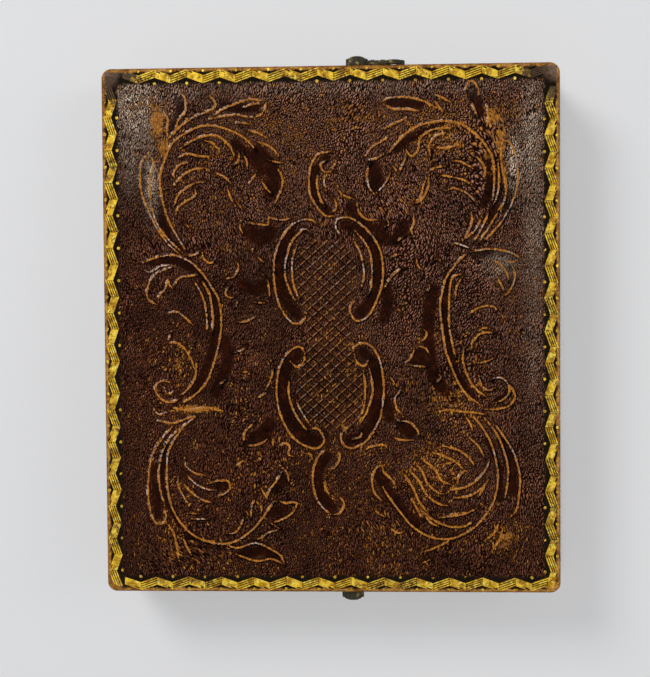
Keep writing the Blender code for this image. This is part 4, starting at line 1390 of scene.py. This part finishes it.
def pineFinish(name, alongX):
    finish = Finish(name)
    share = wood["alongShare"]
    place = finish.position((share, 1.0, 1.0) if alongX else (1.0, share, 1.0))
    x, y, z = finish.parts(place)
    across = y if alongX else x
    wander = finish.noise(place, 0.35, 3.0)
    rings = ((across * 0.9 + z * 0.5 + wander * 2.4) / wood["ringPitch"]).fraction()
    rings = rings.ramp(0.0, 0.75) * rings.ramp(1.0, 0.85)
    fibre = finish.noise(place, 6.0, 3.0, 0.6)
    dirt = finish.noise(finish.position(), 0.12, 3.0)
    colour = finish.mix(rings * 0.75 + fibre * 0.25, wood["pale"], wood["deep"])
    colour = finish.tint(colour, 0.55 + dirt * 0.7)
    return finish.set(Base_Color=colour, Roughness=0.66 + fibre * 0.14,
                      Normal=finish.bump(rings * 0.4 + fibre * 0.6, 0.05 * mm))


card = {
    "pale": (0.56, 0.46, 0.31),
    "deep": (0.42, 0.33, 0.20),
    "foxed": (0.25, 0.13, 0.055),
}


def cardFinish():
    finish = Finish("buff_card")
    place = finish.position()
    fibre = finish.noise(place, 3.0, 4.0, 0.7)
    foxing = finish.noise(place, 0.16, 3.0).ramp(0.52, 0.72)
    colour = finish.mix(fibre, card["pale"], card["deep"])
    colour = finish.mix(foxing * 0.5, colour, card["foxed"])
    return finish.set(Base_Color=colour, Roughness=0.86, Normal=finish.bump(fibre, 0.03 * mm))


velvet = {
    "deep": (0.040, 0.0022, 0.0045),
    "bright": (0.175, 0.0100, 0.0160),
    "faded": (0.230, 0.055, 0.035),
    "sheen": 0.32,
    "tint": (0.85, 0.18, 0.20),
    "pilePitch": 7.0,
}


def velvetFinish(pressed):
    finish = Finish("pressed_velvet" if pressed else "plain_velvet")
    place = finish.position()
    pile = finish.noise(place, velvet["pilePitch"], 3.0, 0.7)
    brushed = finish.noise(place, 0.11, 2.0).ramp(0.35, 0.65)
    streak = finish.noise(finish.position((0.25, 1.0, 1.0)), 0.5, 3.0)
    shade = brushed * 0.45 + streak * 0.35 + pile * 0.40
    worn = finish.noise(place, 0.07, 3.0).ramp(0.55, 0.72)
    if pressed:
        stamped = finish.attribute("stamped")
        crown = finish.attribute("crown")
        shade = shade * (1 - stamped * 0.75) + crown * 0.18
        worn = worn * 0.5 + crown * 0.35
    colour = finish.mix(shade, velvet["deep"], velvet["bright"])
    colour = finish.mix(worn * pile * 0.55, colour, velvet["faded"])
    return finish.set(Base_Color=colour, Roughness=0.92, Sheen_Weight=velvet["sheen"],
                      Sheen_Roughness=0.35, Sheen_Tint=velvet["tint"], Specular_IOR_Level=0.08,
                      Normal=finish.bump(pile, 0.10 * mm))


brass = {
    "mat": ((0.74, 0.50, 0.18), (0.62, 0.39, 0.12)),
    "foil": ((0.66, 0.40, 0.12), (0.50, 0.27, 0.07)),
    "tarnished": (0.36, 0.20, 0.065),
    "spotted": (0.11, 0.075, 0.035),
    "pressed": (0.20, 0.11, 0.035),
}


def brassFinish(name, stippled):
    finish = Finish(name)
    place = finish.position()
    tarnish = finish.noise(place, 0.10, 4.0, 0.65).ramp(0.45, 0.72)
    spots = finish.noise(place, 0.9, 3.0).ramp(0.62, 0.72)
    light, deep = brass["mat" if stippled else "foil"]
    colour = finish.mix(finish.noise(place, 0.5, 2.0), light, deep)
    colour = finish.mix(tarnish * 0.65, colour, brass["tarnished"])
    colour = finish.mix(spots * 0.7, colour, brass["spotted"])
    stipple = finish.cells(place, 3.4 if stippled else 6.0)
    height = stipple * (1.0 if stippled else 0.2) + finish.noise(place, 2.5, 3.0) * 0.25
    if stippled:
        smoothRim = finish.attribute("plain")
        height = height * (1 - smoothRim)
        colour = finish.mix((1 - stipple * 1.6) * (1 - smoothRim) * 0.30, colour, brass["pressed"])
    return finish.set(Base_Color=colour, Metallic=1.0, Roughness=0.27 + tarnish * 0.22 + spots * 0.2,
                      Normal=finish.bump(height, 0.05 * mm))


plate = {
    "silver": ((0.64, 0.64, 0.66), (0.54, 0.545, 0.56)),
    "gold": (0.50, 0.33, 0.13),
    "plum": (0.20, 0.075, 0.10),
    "blue": (0.045, 0.085, 0.17),
    "dust": (0.10, 0.09, 0.08),
    # where each band of colour begins and is full, as shares of the way out to the mat's window
    "goldBand": (0.70, 0.86),
    "plumBand": (0.84, 0.94),
    "blueBand": (0.91, 1.02),
}


def plateFinish():
    # silver with the bands of colour that tarnish leaves round the window, gold, then plum and blue
    finish = Finish("tarnished_silver")
    place = finish.position()
    x, y = finish.parts(place)[:2]
    window = ((x / (mat["windowX"] / mm)) ** 2 + (y / (mat["windowY"] / mm)) ** 2) ** 0.5
    reach = window + (finish.noise(place, 0.16, 4.0, 0.6) - 0.5) * 0.20
    gold, plum, blue = (reach.ramp(*plate[band]) for band in ("goldBand", "plumBand", "blueBand"))
    silver = finish.mix(finish.noise(place, 0.4, 4.0), *plate["silver"])
    colour = finish.mix(gold * 0.8, silver, plate["gold"])
    colour = finish.mix(plum * 0.8, colour, plate["plum"])
    colour = finish.mix(blue * 0.85, colour, plate["blue"])
    marks = finish.noise(finish.position((1.0, 0.06, 1.0)), 5.0, 3.0, 0.7)
    dust = finish.noise(place, 2.4, 2.0).ramp(0.66, 0.72)
    colour = finish.mix(dust * 0.5, colour, plate["dust"])
    return finish.set(Base_Color=colour, Metallic=1.0, Roughness=0.15 + marks * 0.10 + dust * 0.3,
                      Normal=finish.bump(marks, 0.004 * mm))


glass = {
    "clear": (0.93, 0.96, 0.94),
    "smeared": (0.84, 0.87, 0.84),
}


def glassFinish():
    finish = Finish("clear_glass")
    place = finish.position()
    smear = finish.noise(finish.position((1.0, 0.3, 1.0)), 0.12, 4.0, 0.7).ramp(0.50, 0.78)
    return finish.set(Base_Color=finish.mix(smear, glass["clear"], glass["smeared"]),
                      Roughness=0.01 + smear * 0.10, Transmission_Weight=1.0, IOR=1.5,
                      Normal=finish.bump(finish.noise(place, 0.05, 1.0), 0.01 * mm))


sides = {
    # the painted shade in the grain's creases
    "dark": (0.0060, 0.0023, 0.0014),
    "brown": (0.050, 0.0145, 0.0062),
    "rim": 0.30,
    "rimWidth": 4.3,
    "toolInset": (3.2, 4.3),
    "toolWidth": 0.16,
    "cornerReach": (2.2, 0.9),
}


def sideLeatherFinish(name, rimHeight, tooled=False):
    # the plainer leather of the sides, rubbed to tan along the rim and at the corners
    finish = Finish(name)
    place, _, pebble, chance, fine, facing = leatherGrain(finish)
    x, y, z = finish.parts(place)
    broken = finish.noise(place, 0.85, 3.0, 0.6)
    large = finish.noise(place, 0.07, 3.0)
    across, along = fromEdges(x, y)
    corner = ((across ** 2 + along ** 2) ** 0.5 + (broken - 0.5) * 2.2).ramp(*sides["cornerReach"])
    inset = across.lowest(along)
    fromRim = (z - rimHeight / mm) ** 2
    innerLip = (fromRim + (inset - sides["rimWidth"]) ** 2) ** 0.5
    lip = ((fromRim + inset ** 2) ** 0.5).lowest(innerLip)
    rim = (lip + (broken - 0.5) * 0.8 + (fine - 0.5) * 0.4).ramp(sides["rim"] * 1.6, sides["rim"] * 0.5)
    rubbedEdge = rim.highest(corner * 0.85) * (0.40 + large)
    # painted shade in the creases and on slopes turned from the light
    creaseShading = (pebble * 0.50 + fine * 0.80 + facing * 0.30).ramp(0.34, 0.70) * 0.7 + 0.3
    brown = finish.mix(creaseShading, sides["dark"], finish.tint(sides["brown"], 0.55 + fine * 0.7 + chance * 0.2))
    # painted highlights on slopes facing the light
    lit = (facing * 1.1 + fine * 0.35 + chance * 0.15).ramp(0.44, 0.76) * large
    brown = finish.mix(lit * 0.16, brown, leather["lit"])
    patchy = finish.noise(place, 0.22, 3.0)
    chafed = large * 1.1 + patchy * 0.8 + fine * 0.3 + corner * 0.3 - chance * 0.9
    specks = (chafed - 0.86).ramp(0.0, 0.14) * pebble.ramp(0.2, 0.65) * 0.75
    tan = finish.tint(finish.mix(broken, leather["deepTan"], leather["tan"]), 0.35 + fine * 1.1)
    height = pebble * 0.5 + fine * 0.8
    if tooled:
        press = 0.0
        for toolInset in sides["toolInset"]:
            line = abs(inset - toolInset).ramp(sides["toolWidth"] * 2, sides["toolWidth"])
            press = line.highest(press)
        height = height * (1 - press * 0.8) - press * 1.6
        brown = finish.tint(brown, 1 - press * 0.55)
        specks = specks * (1 - press)
    colour = finish.mix(specks.highest(rubbedEdge.ramp(0.3, 0.7)) * 0.9, brown, tan)
    return finish.set(Base_Color=colour, Roughness=0.46 + rubbedEdge * 0.25 + (1 - pebble) * 0.12,
                      Normal=finish.bump(height, leather["grainDepth"] * 0.6), Specular_IOR_Level=0.06)


hooks = {
    "dark": (0.030, 0.026, 0.012),
    "bright": (0.40, 0.29, 0.105),
    "green": (0.035, 0.060, 0.035),
}


def hookFinish():
    finish = Finish("dark_brass")
    place = finish.position()
    patch = finish.noise(place, 0.9, 4.0, 0.65)
    pits = finish.noise(place, 4.5, 3.0, 0.6)
    rubbedMask = patch.ramp(0.54, 0.70)
    green = finish.noise(place, 1.6, 3.0).ramp(0.60, 0.72)
    colour = finish.mix(rubbedMask * 0.8, hooks["dark"], hooks["bright"])
    colour = finish.mix(green * 0.5, colour, hooks["green"])
    colour = finish.tint(colour, 0.6 + pits * 0.8)
    return finish.set(Base_Color=colour, Metallic=0.55 + rubbedMask * 0.45,
                      Roughness=0.50 - rubbedMask * 0.18 + pits * 0.15,
                      Normal=finish.bump(pits * 0.6 + patch * 0.4, 0.06 * mm))


# Rings of points round a rounded rectangle or an oval, and the closed band that runs through them
def rectangleRing(sideX, sideY, corner, height, counts):
    longCount, shortCount, bendCount = counts
    points = []
    for turn in range(4):
        out = np.array((math.cos(math.pi / 2 * turn), math.sin(math.pi / 2 * turn)))
        way = np.array((-out[1], out[0]))
        reach, half = (sideX, sideY - corner) if turn % 2 == 0 else (sideY, sideX - corner)
        count = shortCount if turn % 2 else longCount
        for index in range(count):
            points.append(out * reach + way * half * (2 * index / count - 1))
        for index in range(bendCount):
            angle = math.pi / 2 * (turn + index / bendCount)
            bend = np.array((math.cos(angle), math.sin(angle)))
            points.append(out * (reach - corner) + way * half + bend * corner)
    return np.column_stack((points, np.full(len(points), height)))


def ovalRing(sideX, sideY, height, count):
    turns = np.arange(count) / count * math.tau
    return np.column_stack((np.cos(turns) * sideX, np.sin(turns) * sideY, np.full(count, height)))


def ringBand(name, rings):
    # a grid rolled up both ways, its meeting edges merged
    around, along = len(rings), len(rings[0])
    clearSelection()
    bpy.ops.mesh.primitive_grid_add(x_subdivisions=along, y_subdivisions=around, size=1)
    item = newest(name)
    places = coordinates(item.data) + 0.5
    point = np.rint(places[:, 0] * along).astype(int) % along
    ring = np.rint(places[:, 1] * around).astype(int) % around
    moveTo(item.data, np.stack(rings)[ring, point])
    outward(item)
    return item


def stripAlong(name, section, halfLength, steps, thickness):
    # a strip of leather lying along Y, its section a row of points, then given its thickness
    clearSelection()
    bpy.ops.mesh.primitive_grid_add(x_subdivisions=len(section) - 1, y_subdivisions=steps, size=1)
    item = newest(name)
    places = coordinates(item.data)
    index = np.rint((places[:, 0] + 0.5) * (len(section) - 1)).astype(int)
    path = np.array(section)[index]
    moveTo(item.data, np.column_stack((path[:, 0], places[:, 1] * 2 * halfLength, path[:, 1])))
    wall = item.modifiers.new("thickness", "SOLIDIFY")
    wall.thickness = abs(thickness)
    wall.offset = math.copysign(1.0, thickness)
    wall.use_even_offset = True
    applyAll(item)
    outward(item)
    return item


def lengthAlong(ring):
    # how far round a ring each of its points lies
    steps = np.linalg.norm(np.diff(ring[:, :2], axis=0), axis=1)
    return np.concatenate(((0.0,), np.cumsum(steps)))


mat = {
    "windowX": 25.0 * mm,
    "windowY": 31.0 * mm,
    "count": 192,
    # how far outside the window each ring of the stamped edge lies, and its share of the thickness
    "edge": ((0.0, 0.0), (0.0, 0.45), (0.35, 1.0), (0.70, 1.0), (0.88, 0.55), (1.06, 1.0), (1.9, 0.80),
             (2.15, 1.0), (2.33, 0.55), (2.51, 1.0), (3.4, 1.0)),
    "beadRadius": 0.27 * mm,
    "beadFlat": 0.6,
    "beadInset": 1.6 * mm,
    "beadPitch": 0.72 * mm,
    "beadSink": 0.06 * mm,
    "beadRunPoints": 2000,
    "plainWidth": 2.8 * mm,
}


def makeMat():
    low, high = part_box("brass_mat")
    rings = []
    for out, share in mat["edge"]:
        height = low.z + (high.z - low.z) * share
        rings.append(ovalRing(mat["windowX"] + out * mm, mat["windowY"] + out * mm, height, mat["count"]))
    # the outer edge: the last ring's points moved out to the rectangle, the nearest ones to its corners
    last = rings[-1]
    reach = np.maximum(np.abs(last[:, 0]) / high.x, np.abs(last[:, 1]) / high.y)
    outline = last / reach[:, None]
    for signX in (-1, 1):
        for signY in (-1, 1):
            corner = np.array((signX * high.x, signY * high.y))
            nearest = np.argmin(np.linalg.norm(outline[:, :2] - corner, axis=1))
            outline[nearest, :2] = corner
    for height in (high.z, low.z):
        ring = outline.copy()
        ring[:, 2] = height
        rings.append(ring)
    item = ringBand("stamped_mat", rings)
    clearSelection()
    bpy.ops.mesh.primitive_ico_sphere_add(subdivisions=2, radius=mat["beadRadius"])
    bead = newest("mat_bead")
    fine = ovalRing(mat["windowX"] + mat["beadInset"], mat["windowY"] + mat["beadInset"],
                    high.z - mat["beadSink"], mat["beadRunPoints"])
    run = lengthAlong(fine)
    count = round(run[-1] / mat["beadPitch"])
    flattened = coordinates(bead.data) * (1, 1, mat["beadFlat"])
    beads = [copyAt(bead, flattened + fine[np.searchsorted(run, reach)])
             for reach in np.arange(count) / count * run[-1]]
    bpy.data.objects.remove(bead)
    item = gather([item] + beads, "stamped_mat")
    places = coordinates(item.data)
    edge = np.hypot(places[:, 0] / (mat["windowX"] + mat["plainWidth"]),
                    places[:, 1] / (mat["windowY"] + mat["plainWidth"]))
    mark(item, "plain", edge < 1)
    smooth(item, 40)
    return item


preserver = {
    "counts": (430, 360, 4),
    "foil": 0.2 * mm,
    "corner": 0.8 * mm,
    "innerCorner": 0.3 * mm,
    "face": 2.3 * mm,
    "fold": 1.9 * mm,
    "relief": 0.20 * mm,
    "leafPitch": 2.6 * mm,
    "beadsPerLeaf": 3,
    "beadPlaces": (0.12, 0.88),
    "beadReach": 0.05,
    "leafSlant": 3.4,
    "leafShare": 0.75,
    "beadShare": 0.40,
    "swellShare": 0.2,
    "steps": 13,
}


def makePreserver():
    # thin brass folded round the packet, its face stamped with slanted leaves between two rows of beads
    low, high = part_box("preserver_frame")
    foil = preserver["foil"]

    def ringAt(inset, height):
        corner = max(preserver["corner"] - inset, preserver["innerCorner"])
        return rectangleRing(high.x - inset, high.y - inset, corner, height, preserver["counts"])

    rings = [ringAt(preserver["fold"], low.z + foil), ringAt(preserver["fold"], low.z), ringAt(0.0, low.z)]
    outer = ringAt(0.0, high.z)
    run = lengthAlong(outer)
    wave = run / run[-1] * round(run[-1] / preserver["leafPitch"]) * math.tau
    for step in range(preserver["steps"] + 1):
        share = step / preserver["steps"]
        ring = ringAt(preserver["face"] * share, high.z)
        middle = math.sin(math.pi * share)
        leaf = np.clip(np.cos(wave + (share - 0.5) * preserver["leafSlant"]) * 0.9 + 0.30, 0, 1)
        onBeads = min(abs(share - place) for place in preserver["beadPlaces"]) < preserver["beadReach"]
        bead = np.clip(np.cos(wave * preserver["beadsPerLeaf"]), 0, 1) * onBeads
        stamped = leaf * middle ** 1.5 * preserver["leafShare"] + bead * preserver["beadShare"]
        ring[:, 2] += preserver["relief"] * (stamped + middle * preserver["swellShare"])
        rings.append(ring)
    rings += [ringAt(preserver["face"], high.z - foil), ringAt(foil, high.z - foil),
              ringAt(foil, low.z + foil)]
    item = ringBand("stamped_preserver", rings)
    smooth(item, 50)
    return item


retainer = {
    "counts": (300, 260, 8),
    "thick": 0.9 * mm,
    "corner": 2.0 * mm,
    "arcSteps": 8,
    "ripple": 0.05 * mm,
    # the waves of its top edge: how many go round, their phase and their share
    "waves": ((23, 0.0, 0.4), (57, 1.0, 0.35), (131, 2.0, 0.25)),
}


def makeRetainer():
    # the velvet strip on edge round the packet, its rounded top a little uneven
    low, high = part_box("velvet_retainer")
    half = retainer["thick"] / 2
    section = [(2 * half, low.z), (0.0, low.z)]
    for index in range(retainer["arcSteps"] + 1):
        angle = math.pi * (1 - index / retainer["arcSteps"])
        section.append((half + half * math.cos(angle), high.z - half + half * math.sin(angle)))
    rings = []
    for inset, height in section:
        ring = rectangleRing(high.x - inset, high.y - inset, retainer["corner"] - inset, height,
                             retainer["counts"])
        if height > low.z + half:
            turns = np.linspace(0, math.tau, len(ring), endpoint=False)
            sway = sum(np.sin(turns * count + phase) * share for count, phase, share in retainer["waves"])
            ring[:, 2] -= retainer["ripple"] * (1 + sway)
        rings.append(ring)
    item = ringBand("velvet_strip", rings)
    mark(item, "stamped", np.zeros(len(item.data.vertices)))
    mark(item, "crown", coordinates(item.data)[:, 2] > high.z - 2 * half)
    smooth(item, 60)
    return item


cushion = {
    "simScale": 10.0,
    "startShare": (0.985, 0.985, 0.80),
    "voxel": 0.0085,
    "pressure": 4.0,
    "frames": 20,
    "mostMove": 0.026,
    "depth": 0.42 * mm,
    "fillOut": 1.03,
    "fullness": 0.72,
    "borderInset": (5.4 * mm, 8.2 * mm),
    "scallopInset": 6.8 * mm,
    "scallopPitch": 3.2 * mm,
    "ovalX": 15.5 * mm,
    "ovalY": 20.5 * mm,
    "lobes": 20,
    "lineWidth": 0.42 * mm,
    "scallopDepth": 0.9 * mm,
    "innerOval": 0.92,
    "lobeDepth": 0.05,
    # the flower's rings: petals, reach and turn
    "flower": ((6, 7.6 * mm, 0.0), (6, 4.9 * mm, 0.5), (8, 2.6 * mm, 0.0)),
    "sprayInset": (18.5 * mm, 19.5 * mm),
    "leafWidth": 0.17,
    # the corner sprays' leaves: how far each is turned from the diagonal, and its length
    "spray": ((0.0, 11.5 * mm), (0.62, 9.0 * mm), (-0.62, 9.0 * mm), (1.30, 6.5 * mm),
              (-1.30, 6.5 * mm)),
}


def padPattern(x, y, halfWide, halfLong):
    # the lines pressed into the velvet: a scalloped border, an oval of lobes, a flower and corner sprays
    wide = cushion["lineWidth"]
    inset = np.minimum(halfWide - np.abs(x), halfLong - np.abs(y))
    along = np.where(halfWide - np.abs(x) < halfLong - np.abs(y), y, x)
    pressed = np.zeros(len(x))
    for line in cushion["borderInset"]:
        pressed = np.maximum(pressed, bell(np.abs(inset - line), wide * 0.7))
    scallop = np.abs(np.cos(along / cushion["scallopPitch"] * math.pi)) * cushion["scallopDepth"]
    scallop += cushion["scallopInset"]
    pressed = np.maximum(pressed, bell(np.abs(inset - scallop), wide * 0.6))
    turn = np.arctan2(y / cushion["ovalY"], x / cushion["ovalX"])
    reach = np.hypot(x / cushion["ovalX"], y / cushion["ovalY"])
    lobed = 1 + cushion["lobeDepth"] * np.abs(np.cos(turn * cushion["lobes"] / 2))
    for line in (lobed, cushion["innerOval"]):
        pressed = np.maximum(pressed, bell(np.abs(reach - line) * cushion["ovalX"], wide * 0.7))
    flat = np.hypot(x, y)
    angle = np.arctan2(y, x)
    for count, size, shift in cushion["flower"]:
        petal = size * (0.55 + 0.45 * np.abs(np.cos((angle + shift) * count / 2)))
        pressed = np.maximum(pressed, bell(np.abs(flat - petal), wide * 0.75))
    insetX, insetY = cushion["sprayInset"]
    awayX, awayY = np.abs(x) - (halfWide - insetX), np.abs(y) - (halfLong - insetY)
    leafReach = np.hypot(awayX, awayY)
    for spread, size in cushion["spray"]:
        heading = np.arctan2(awayY, awayX) - math.pi / 4 - spread
        width = cushion["leafWidth"] * size * np.sin(np.clip(leafReach / size, 0, 1) * math.pi)
        leaf = np.abs(leafReach * np.sin(heading)) - width
        onLeaf = (np.cos(heading) > 0) & (leafReach < size)
        pressed = np.maximum(pressed, bell(np.abs(leaf), wide * 0.6) * onLeaf)
    return pressed


def makeCushion():
    low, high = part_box("cushion_pad")
    centre = np.array((low + high) / 2)
    item = dressedCopy("cushion_pad", "velvet_pad")
    grow = cushion["simScale"]
    moveTo(item.data, (coordinates(item.data) - centre) * grow * cushion["startShare"])
    even = item.modifiers.new("even", "REMESH")
    even.mode = "VOXEL"
    even.voxel_size = cushion["voxel"]
    applyAll(item)
    before = coordinates(item.data)
    cloth = item.modifiers.new("fabric", "CLOTH")
    cloth.settings.use_pressure = True
    cloth.settings.uniform_pressure_force = cushion["pressure"]
    cloth.settings.effector_weights.gravity = 0
    cloth.point_cache.frame_start = 1
    cloth.point_cache.frame_end = cushion["frames"]
    for number in range(1, cushion["frames"] + 1):
        bpy.context.scene.frame_set(number)
    applyAll(item)
    bpy.context.scene.frame_set(1)
    moved = coordinates(item.data) - before
    length = np.linalg.norm(moved, axis=1, keepdims=True)
    moveTo(item.data, before + moved * np.minimum(1, cushion["mostMove"] / np.maximum(length, 1e-9)))
    finer = item.modifiers.new("finer", "SUBSURF")
    finer.levels = 1
    applyAll(item)
    places = coordinates(item.data) / grow
    size = places.max(axis=0) - places.min(axis=0)
    middle = (places.max(axis=0) + places.min(axis=0)) / 2
    places = (places - middle) * (np.array(high - low) / size) + centre
    places[:, 0] = np.clip(places[:, 0] * cushion["fillOut"], low.x, high.x)
    places[:, 1] = np.clip(places[:, 1] * cushion["fillOut"], low.y, high.y)
    rise = np.clip((high.z - places[:, 2]) / (high.z - low.z), 0, 1) ** cushion["fullness"]
    places[:, 2] = high.z - rise * (high.z - low.z)
    normals = np.empty(len(places) * 3)
    item.data.vertices.foreach_get("normal", normals)
    below = np.clip(-normals.reshape(-1, 3)[:, 2] * 2 - 0.8, 0, 1)
    pressed = padPattern(places[:, 0], places[:, 1], high.x, high.y) * below
    crowned = np.clip(1 - pressed * 2, 0, 1) * below
    places[:, 2] += cushion["depth"] * pressed
    moveTo(item.data, places)
    mark(item, "stamped", pressed)
    mark(item, "crown", crowned)
    smooth(item, 180)
    return item


hinge = {
    "thick": 0.5 * mm,
    "liningThick": 0.4 * mm,
    "bendReach": 1.2 * mm,
    "liningReach": 0.4 * mm,
    "rows": 36,
    "creaseDepth": 0.09 * mm,
    "creaseWidth": 0.22 * mm,
    "creasePlaces": (6.6 * mm, 8.9 * mm, 13.8 * mm),
    "foldSteps": 28,
    "flatSteps": 4,
    "lengthSteps": 96,
    "spineSteps": (26, 16),
}


def jointPlace(name):
    joint = [joint for joint in frame["joints"] if joint["name"] == name][0]
    return Vector(joint["pos_m"])


def makeSpine():
    # the outer hinge, closely divided where it bends, with blind lines pressed along it
    low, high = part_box("spine_leather")
    axis = jointPlace("cover_hinge")
    belowSteps, aboveSteps = hinge["spineSteps"]
    near = np.linspace(-hinge["bendReach"], hinge["bendReach"], hinge["rows"] + 1) + axis.z
    below = np.linspace(low.z, near[0], belowSteps)[:-1]
    above = np.linspace(near[-1], high.z, aboveSteps)[1:]
    section = []
    for height in np.concatenate((below, near, above)):
        creaseShading = sum(bell(height - place, hinge["creaseWidth"]) for place in hinge["creasePlaces"])
        section.append((low.x + hinge["creaseDepth"] * creaseShading, height))
    return stripAlong("spine_strip", section, high.y, hinge["lengthSteps"], -hinge["thick"])


def makeLining():
    # the inner hinge, one fold between the two left rails
    low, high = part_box("hinge_lining")
    radius, middle = (high.z - low.z) / 2, (low.z + high.z) / 2
    foldX = low.x + radius
    shares = np.linspace(0, 1, hinge["flatSteps"] + 1)
    section = [(share * foldX + (1 - share) * high.x, low.z) for share in shares[:-1]]
    for index in range(hinge["foldSteps"] + 1):
        angle = -math.pi / 2 - math.pi * index / hinge["foldSteps"]
        section.append((foldX + radius * math.cos(angle), middle + radius * math.sin(angle)))
    section += [(share * high.x + (1 - share) * foldX, high.z) for share in shares[1:]]
    return stripAlong("lining_strip", section, high.y, hinge["lengthSteps"], hinge["liningThick"])


def blendAtHinge(item):
    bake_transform(item)


hookTrim = {
    "petals": 8,
    "petalPlace": 1.66 * mm,
    "petalRadius": 0.30 * mm,
    "rise": 0.13 * mm,
    "rosetteFace": 1.45 * mm,
    "armFace": 1.15 * mm,
    "ribPlaces": (0.40, 0.46, 0.68, 0.74),
    "ribRadius": 0.17 * mm,
    "ribWidth": 1.36 * mm,
    "ribFlat": 0.75,
}


def makeHookTrim(side):
    # raised petals round the boss and ribs across the arm, on the hook's outer face
    pivot = np.array(jointPlace("hook_" + side + "_swing"))
    outwards = 1 if side == "head" else -1
    arm = np.array((1.0, 0, 0)) if side == "head" else np.array((0, 0, -1.0))
    across = np.array((0, 0, 1.0)) if side == "head" else np.array((1.0, 0, 0))
    catchLow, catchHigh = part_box("catch_pin_" + side)
    reach = pivot[2] - (catchLow.z + catchHigh.z) / 2
    trims = []
    clearSelection()
    bpy.ops.mesh.primitive_uv_sphere_add(segments=12, ring_count=8, radius=hookTrim["petalRadius"])
    petal = newest("hook_petal")
    for index in range(hookTrim["petals"]):
        angle = math.tau * index / hookTrim["petals"]
        place = pivot + (arm * math.cos(angle) + across * math.sin(angle)) * hookTrim["petalPlace"]
        place[1] = outwards * (halfY + hookTrim["rosetteFace"])
        flat = np.array((1.0, hookTrim["rise"] / hookTrim["petalRadius"], 1.0))
        trims.append(copyAt(petal, coordinates(petal.data) * flat + place))
    bpy.data.objects.remove(petal)
    for share in hookTrim["ribPlaces"]:
        clearSelection()
        bpy.ops.mesh.primitive_cylinder_add(vertices=12, radius=hookTrim["ribRadius"],
                                            depth=hookTrim["ribWidth"])
        rib = newest("hook_rib")
        own = coordinates(rib.data)
        place = pivot + arm * reach * share
        place[1] = outwards * (halfY + hookTrim["armFace"])
        turned = own[:, 2:3] * across + own[:, 0:1] * arm + own[:, 1:2] * (0, hookTrim["ribFlat"], 0)
        trims.append(copyAt(rib, turned + place))
        bpy.data.objects.remove(rib)
    item = gather(trims, "hook_trim_" + side)
    outward(item)
    smooth(item, 50)
    return item


def finishNodes(material, *names):
    for name in names:
        for holder in nodes[name].material_slots:
            holder.material = material


print("stage: camera and light")
addCamera()
addLamp("key_light", studio["keyPower"], studio["keySize"], studio["keyPlace"])
addLamp("fill_light", studio["fillPower"], studio["fillSize"], studio["fillPlace"])
addLamp("top_light", studio["topPower"], studio["topSize"], studio["topPlace"], mirrored=False)
plainWorld()
bpy.context.scene.view_settings.view_transform = "Standard"
clearSelection()
bpy.ops.mesh.primitive_plane_add(size=studio["floorSize"])
floor = newest("floor")
floor.data.materials.append(floorFinish())

print("stage: cover leather")
raster, relief = makeRelief()
embossedLeather = coverLeatherFinish()
dress(makeCoverLeather(raster, relief), embossedLeather, "cover", ["cover_top_leather"])
print("stage: gilt roll")
dress(makeGiltRoll(), goldFinish(), "cover")

print("stage: hinge leathers")
hingeHeight = jointPlace("cover_hinge").z
spineStrip = dress(makeSpine(), sideLeatherFinish("spine_leather_finish", hingeHeight), None,
                   ["spine_leather"])
blendAtHinge(spineStrip)
liningStrip = dress(makeLining(), sideLeatherFinish("lining_leather_finish", hingeHeight), None,
                    ["hinge_lining"])
blendAtHinge(liningStrip)

print("stage: mat, preserver and velvet strip")
dress(makeMat(), brassFinish("stippled_brass", True), "tray", ["brass_mat"])
dress(makePreserver(), brassFinish("stamped_brass", False), "tray", ["preserver_frame"])
velvetStrip = dress(makeRetainer(), velvetFinish(False), "tray", ["velvet_retainer"])

print("stage: velvet pad")
velvetPad = dress(makeCushion(), velvetFinish(True), "cover", ["cushion_pad"])

print("stage: hooks and the plain parts' finishes")
darkBrass = hookFinish()
finishNodes(darkBrass, "hook_head", "hook_foot", "hook_pivot_head", "hook_pivot_foot", "catch_pin_head",
            "catch_pin_foot")
for side in ("head", "foot"):
    dress(makeHookTrim(side), darkBrass, "hook_" + side)
finishNodes(sideLeatherFinish("tray_leather_finish", trayRim), "tray_side_leather")
finishNodes(sideLeatherFinish("cover_leather_finish", coverRim), "cover_side_leather")
finishNodes(sideLeatherFinish("back_leather_finish", 0.0, tooled=True), "tray_back_leather")
for half in ("tray", "cover"):
    finishNodes(pineFinish(half + "_long_pine", False), half + "_rail_left", half + "_rail_right",
                "tray_base_board" if half == "tray" else "cover_board")
    finishNodes(pineFinish(half + "_short_pine", True), half + "_rail_head", half + "_rail_foot")
finishNodes(cardFinish(), "packing_card", "cushion_card")
finishNodes(plateFinish(), "silvered_plate")
finishNodes(glassFinish(), "cover_glass")
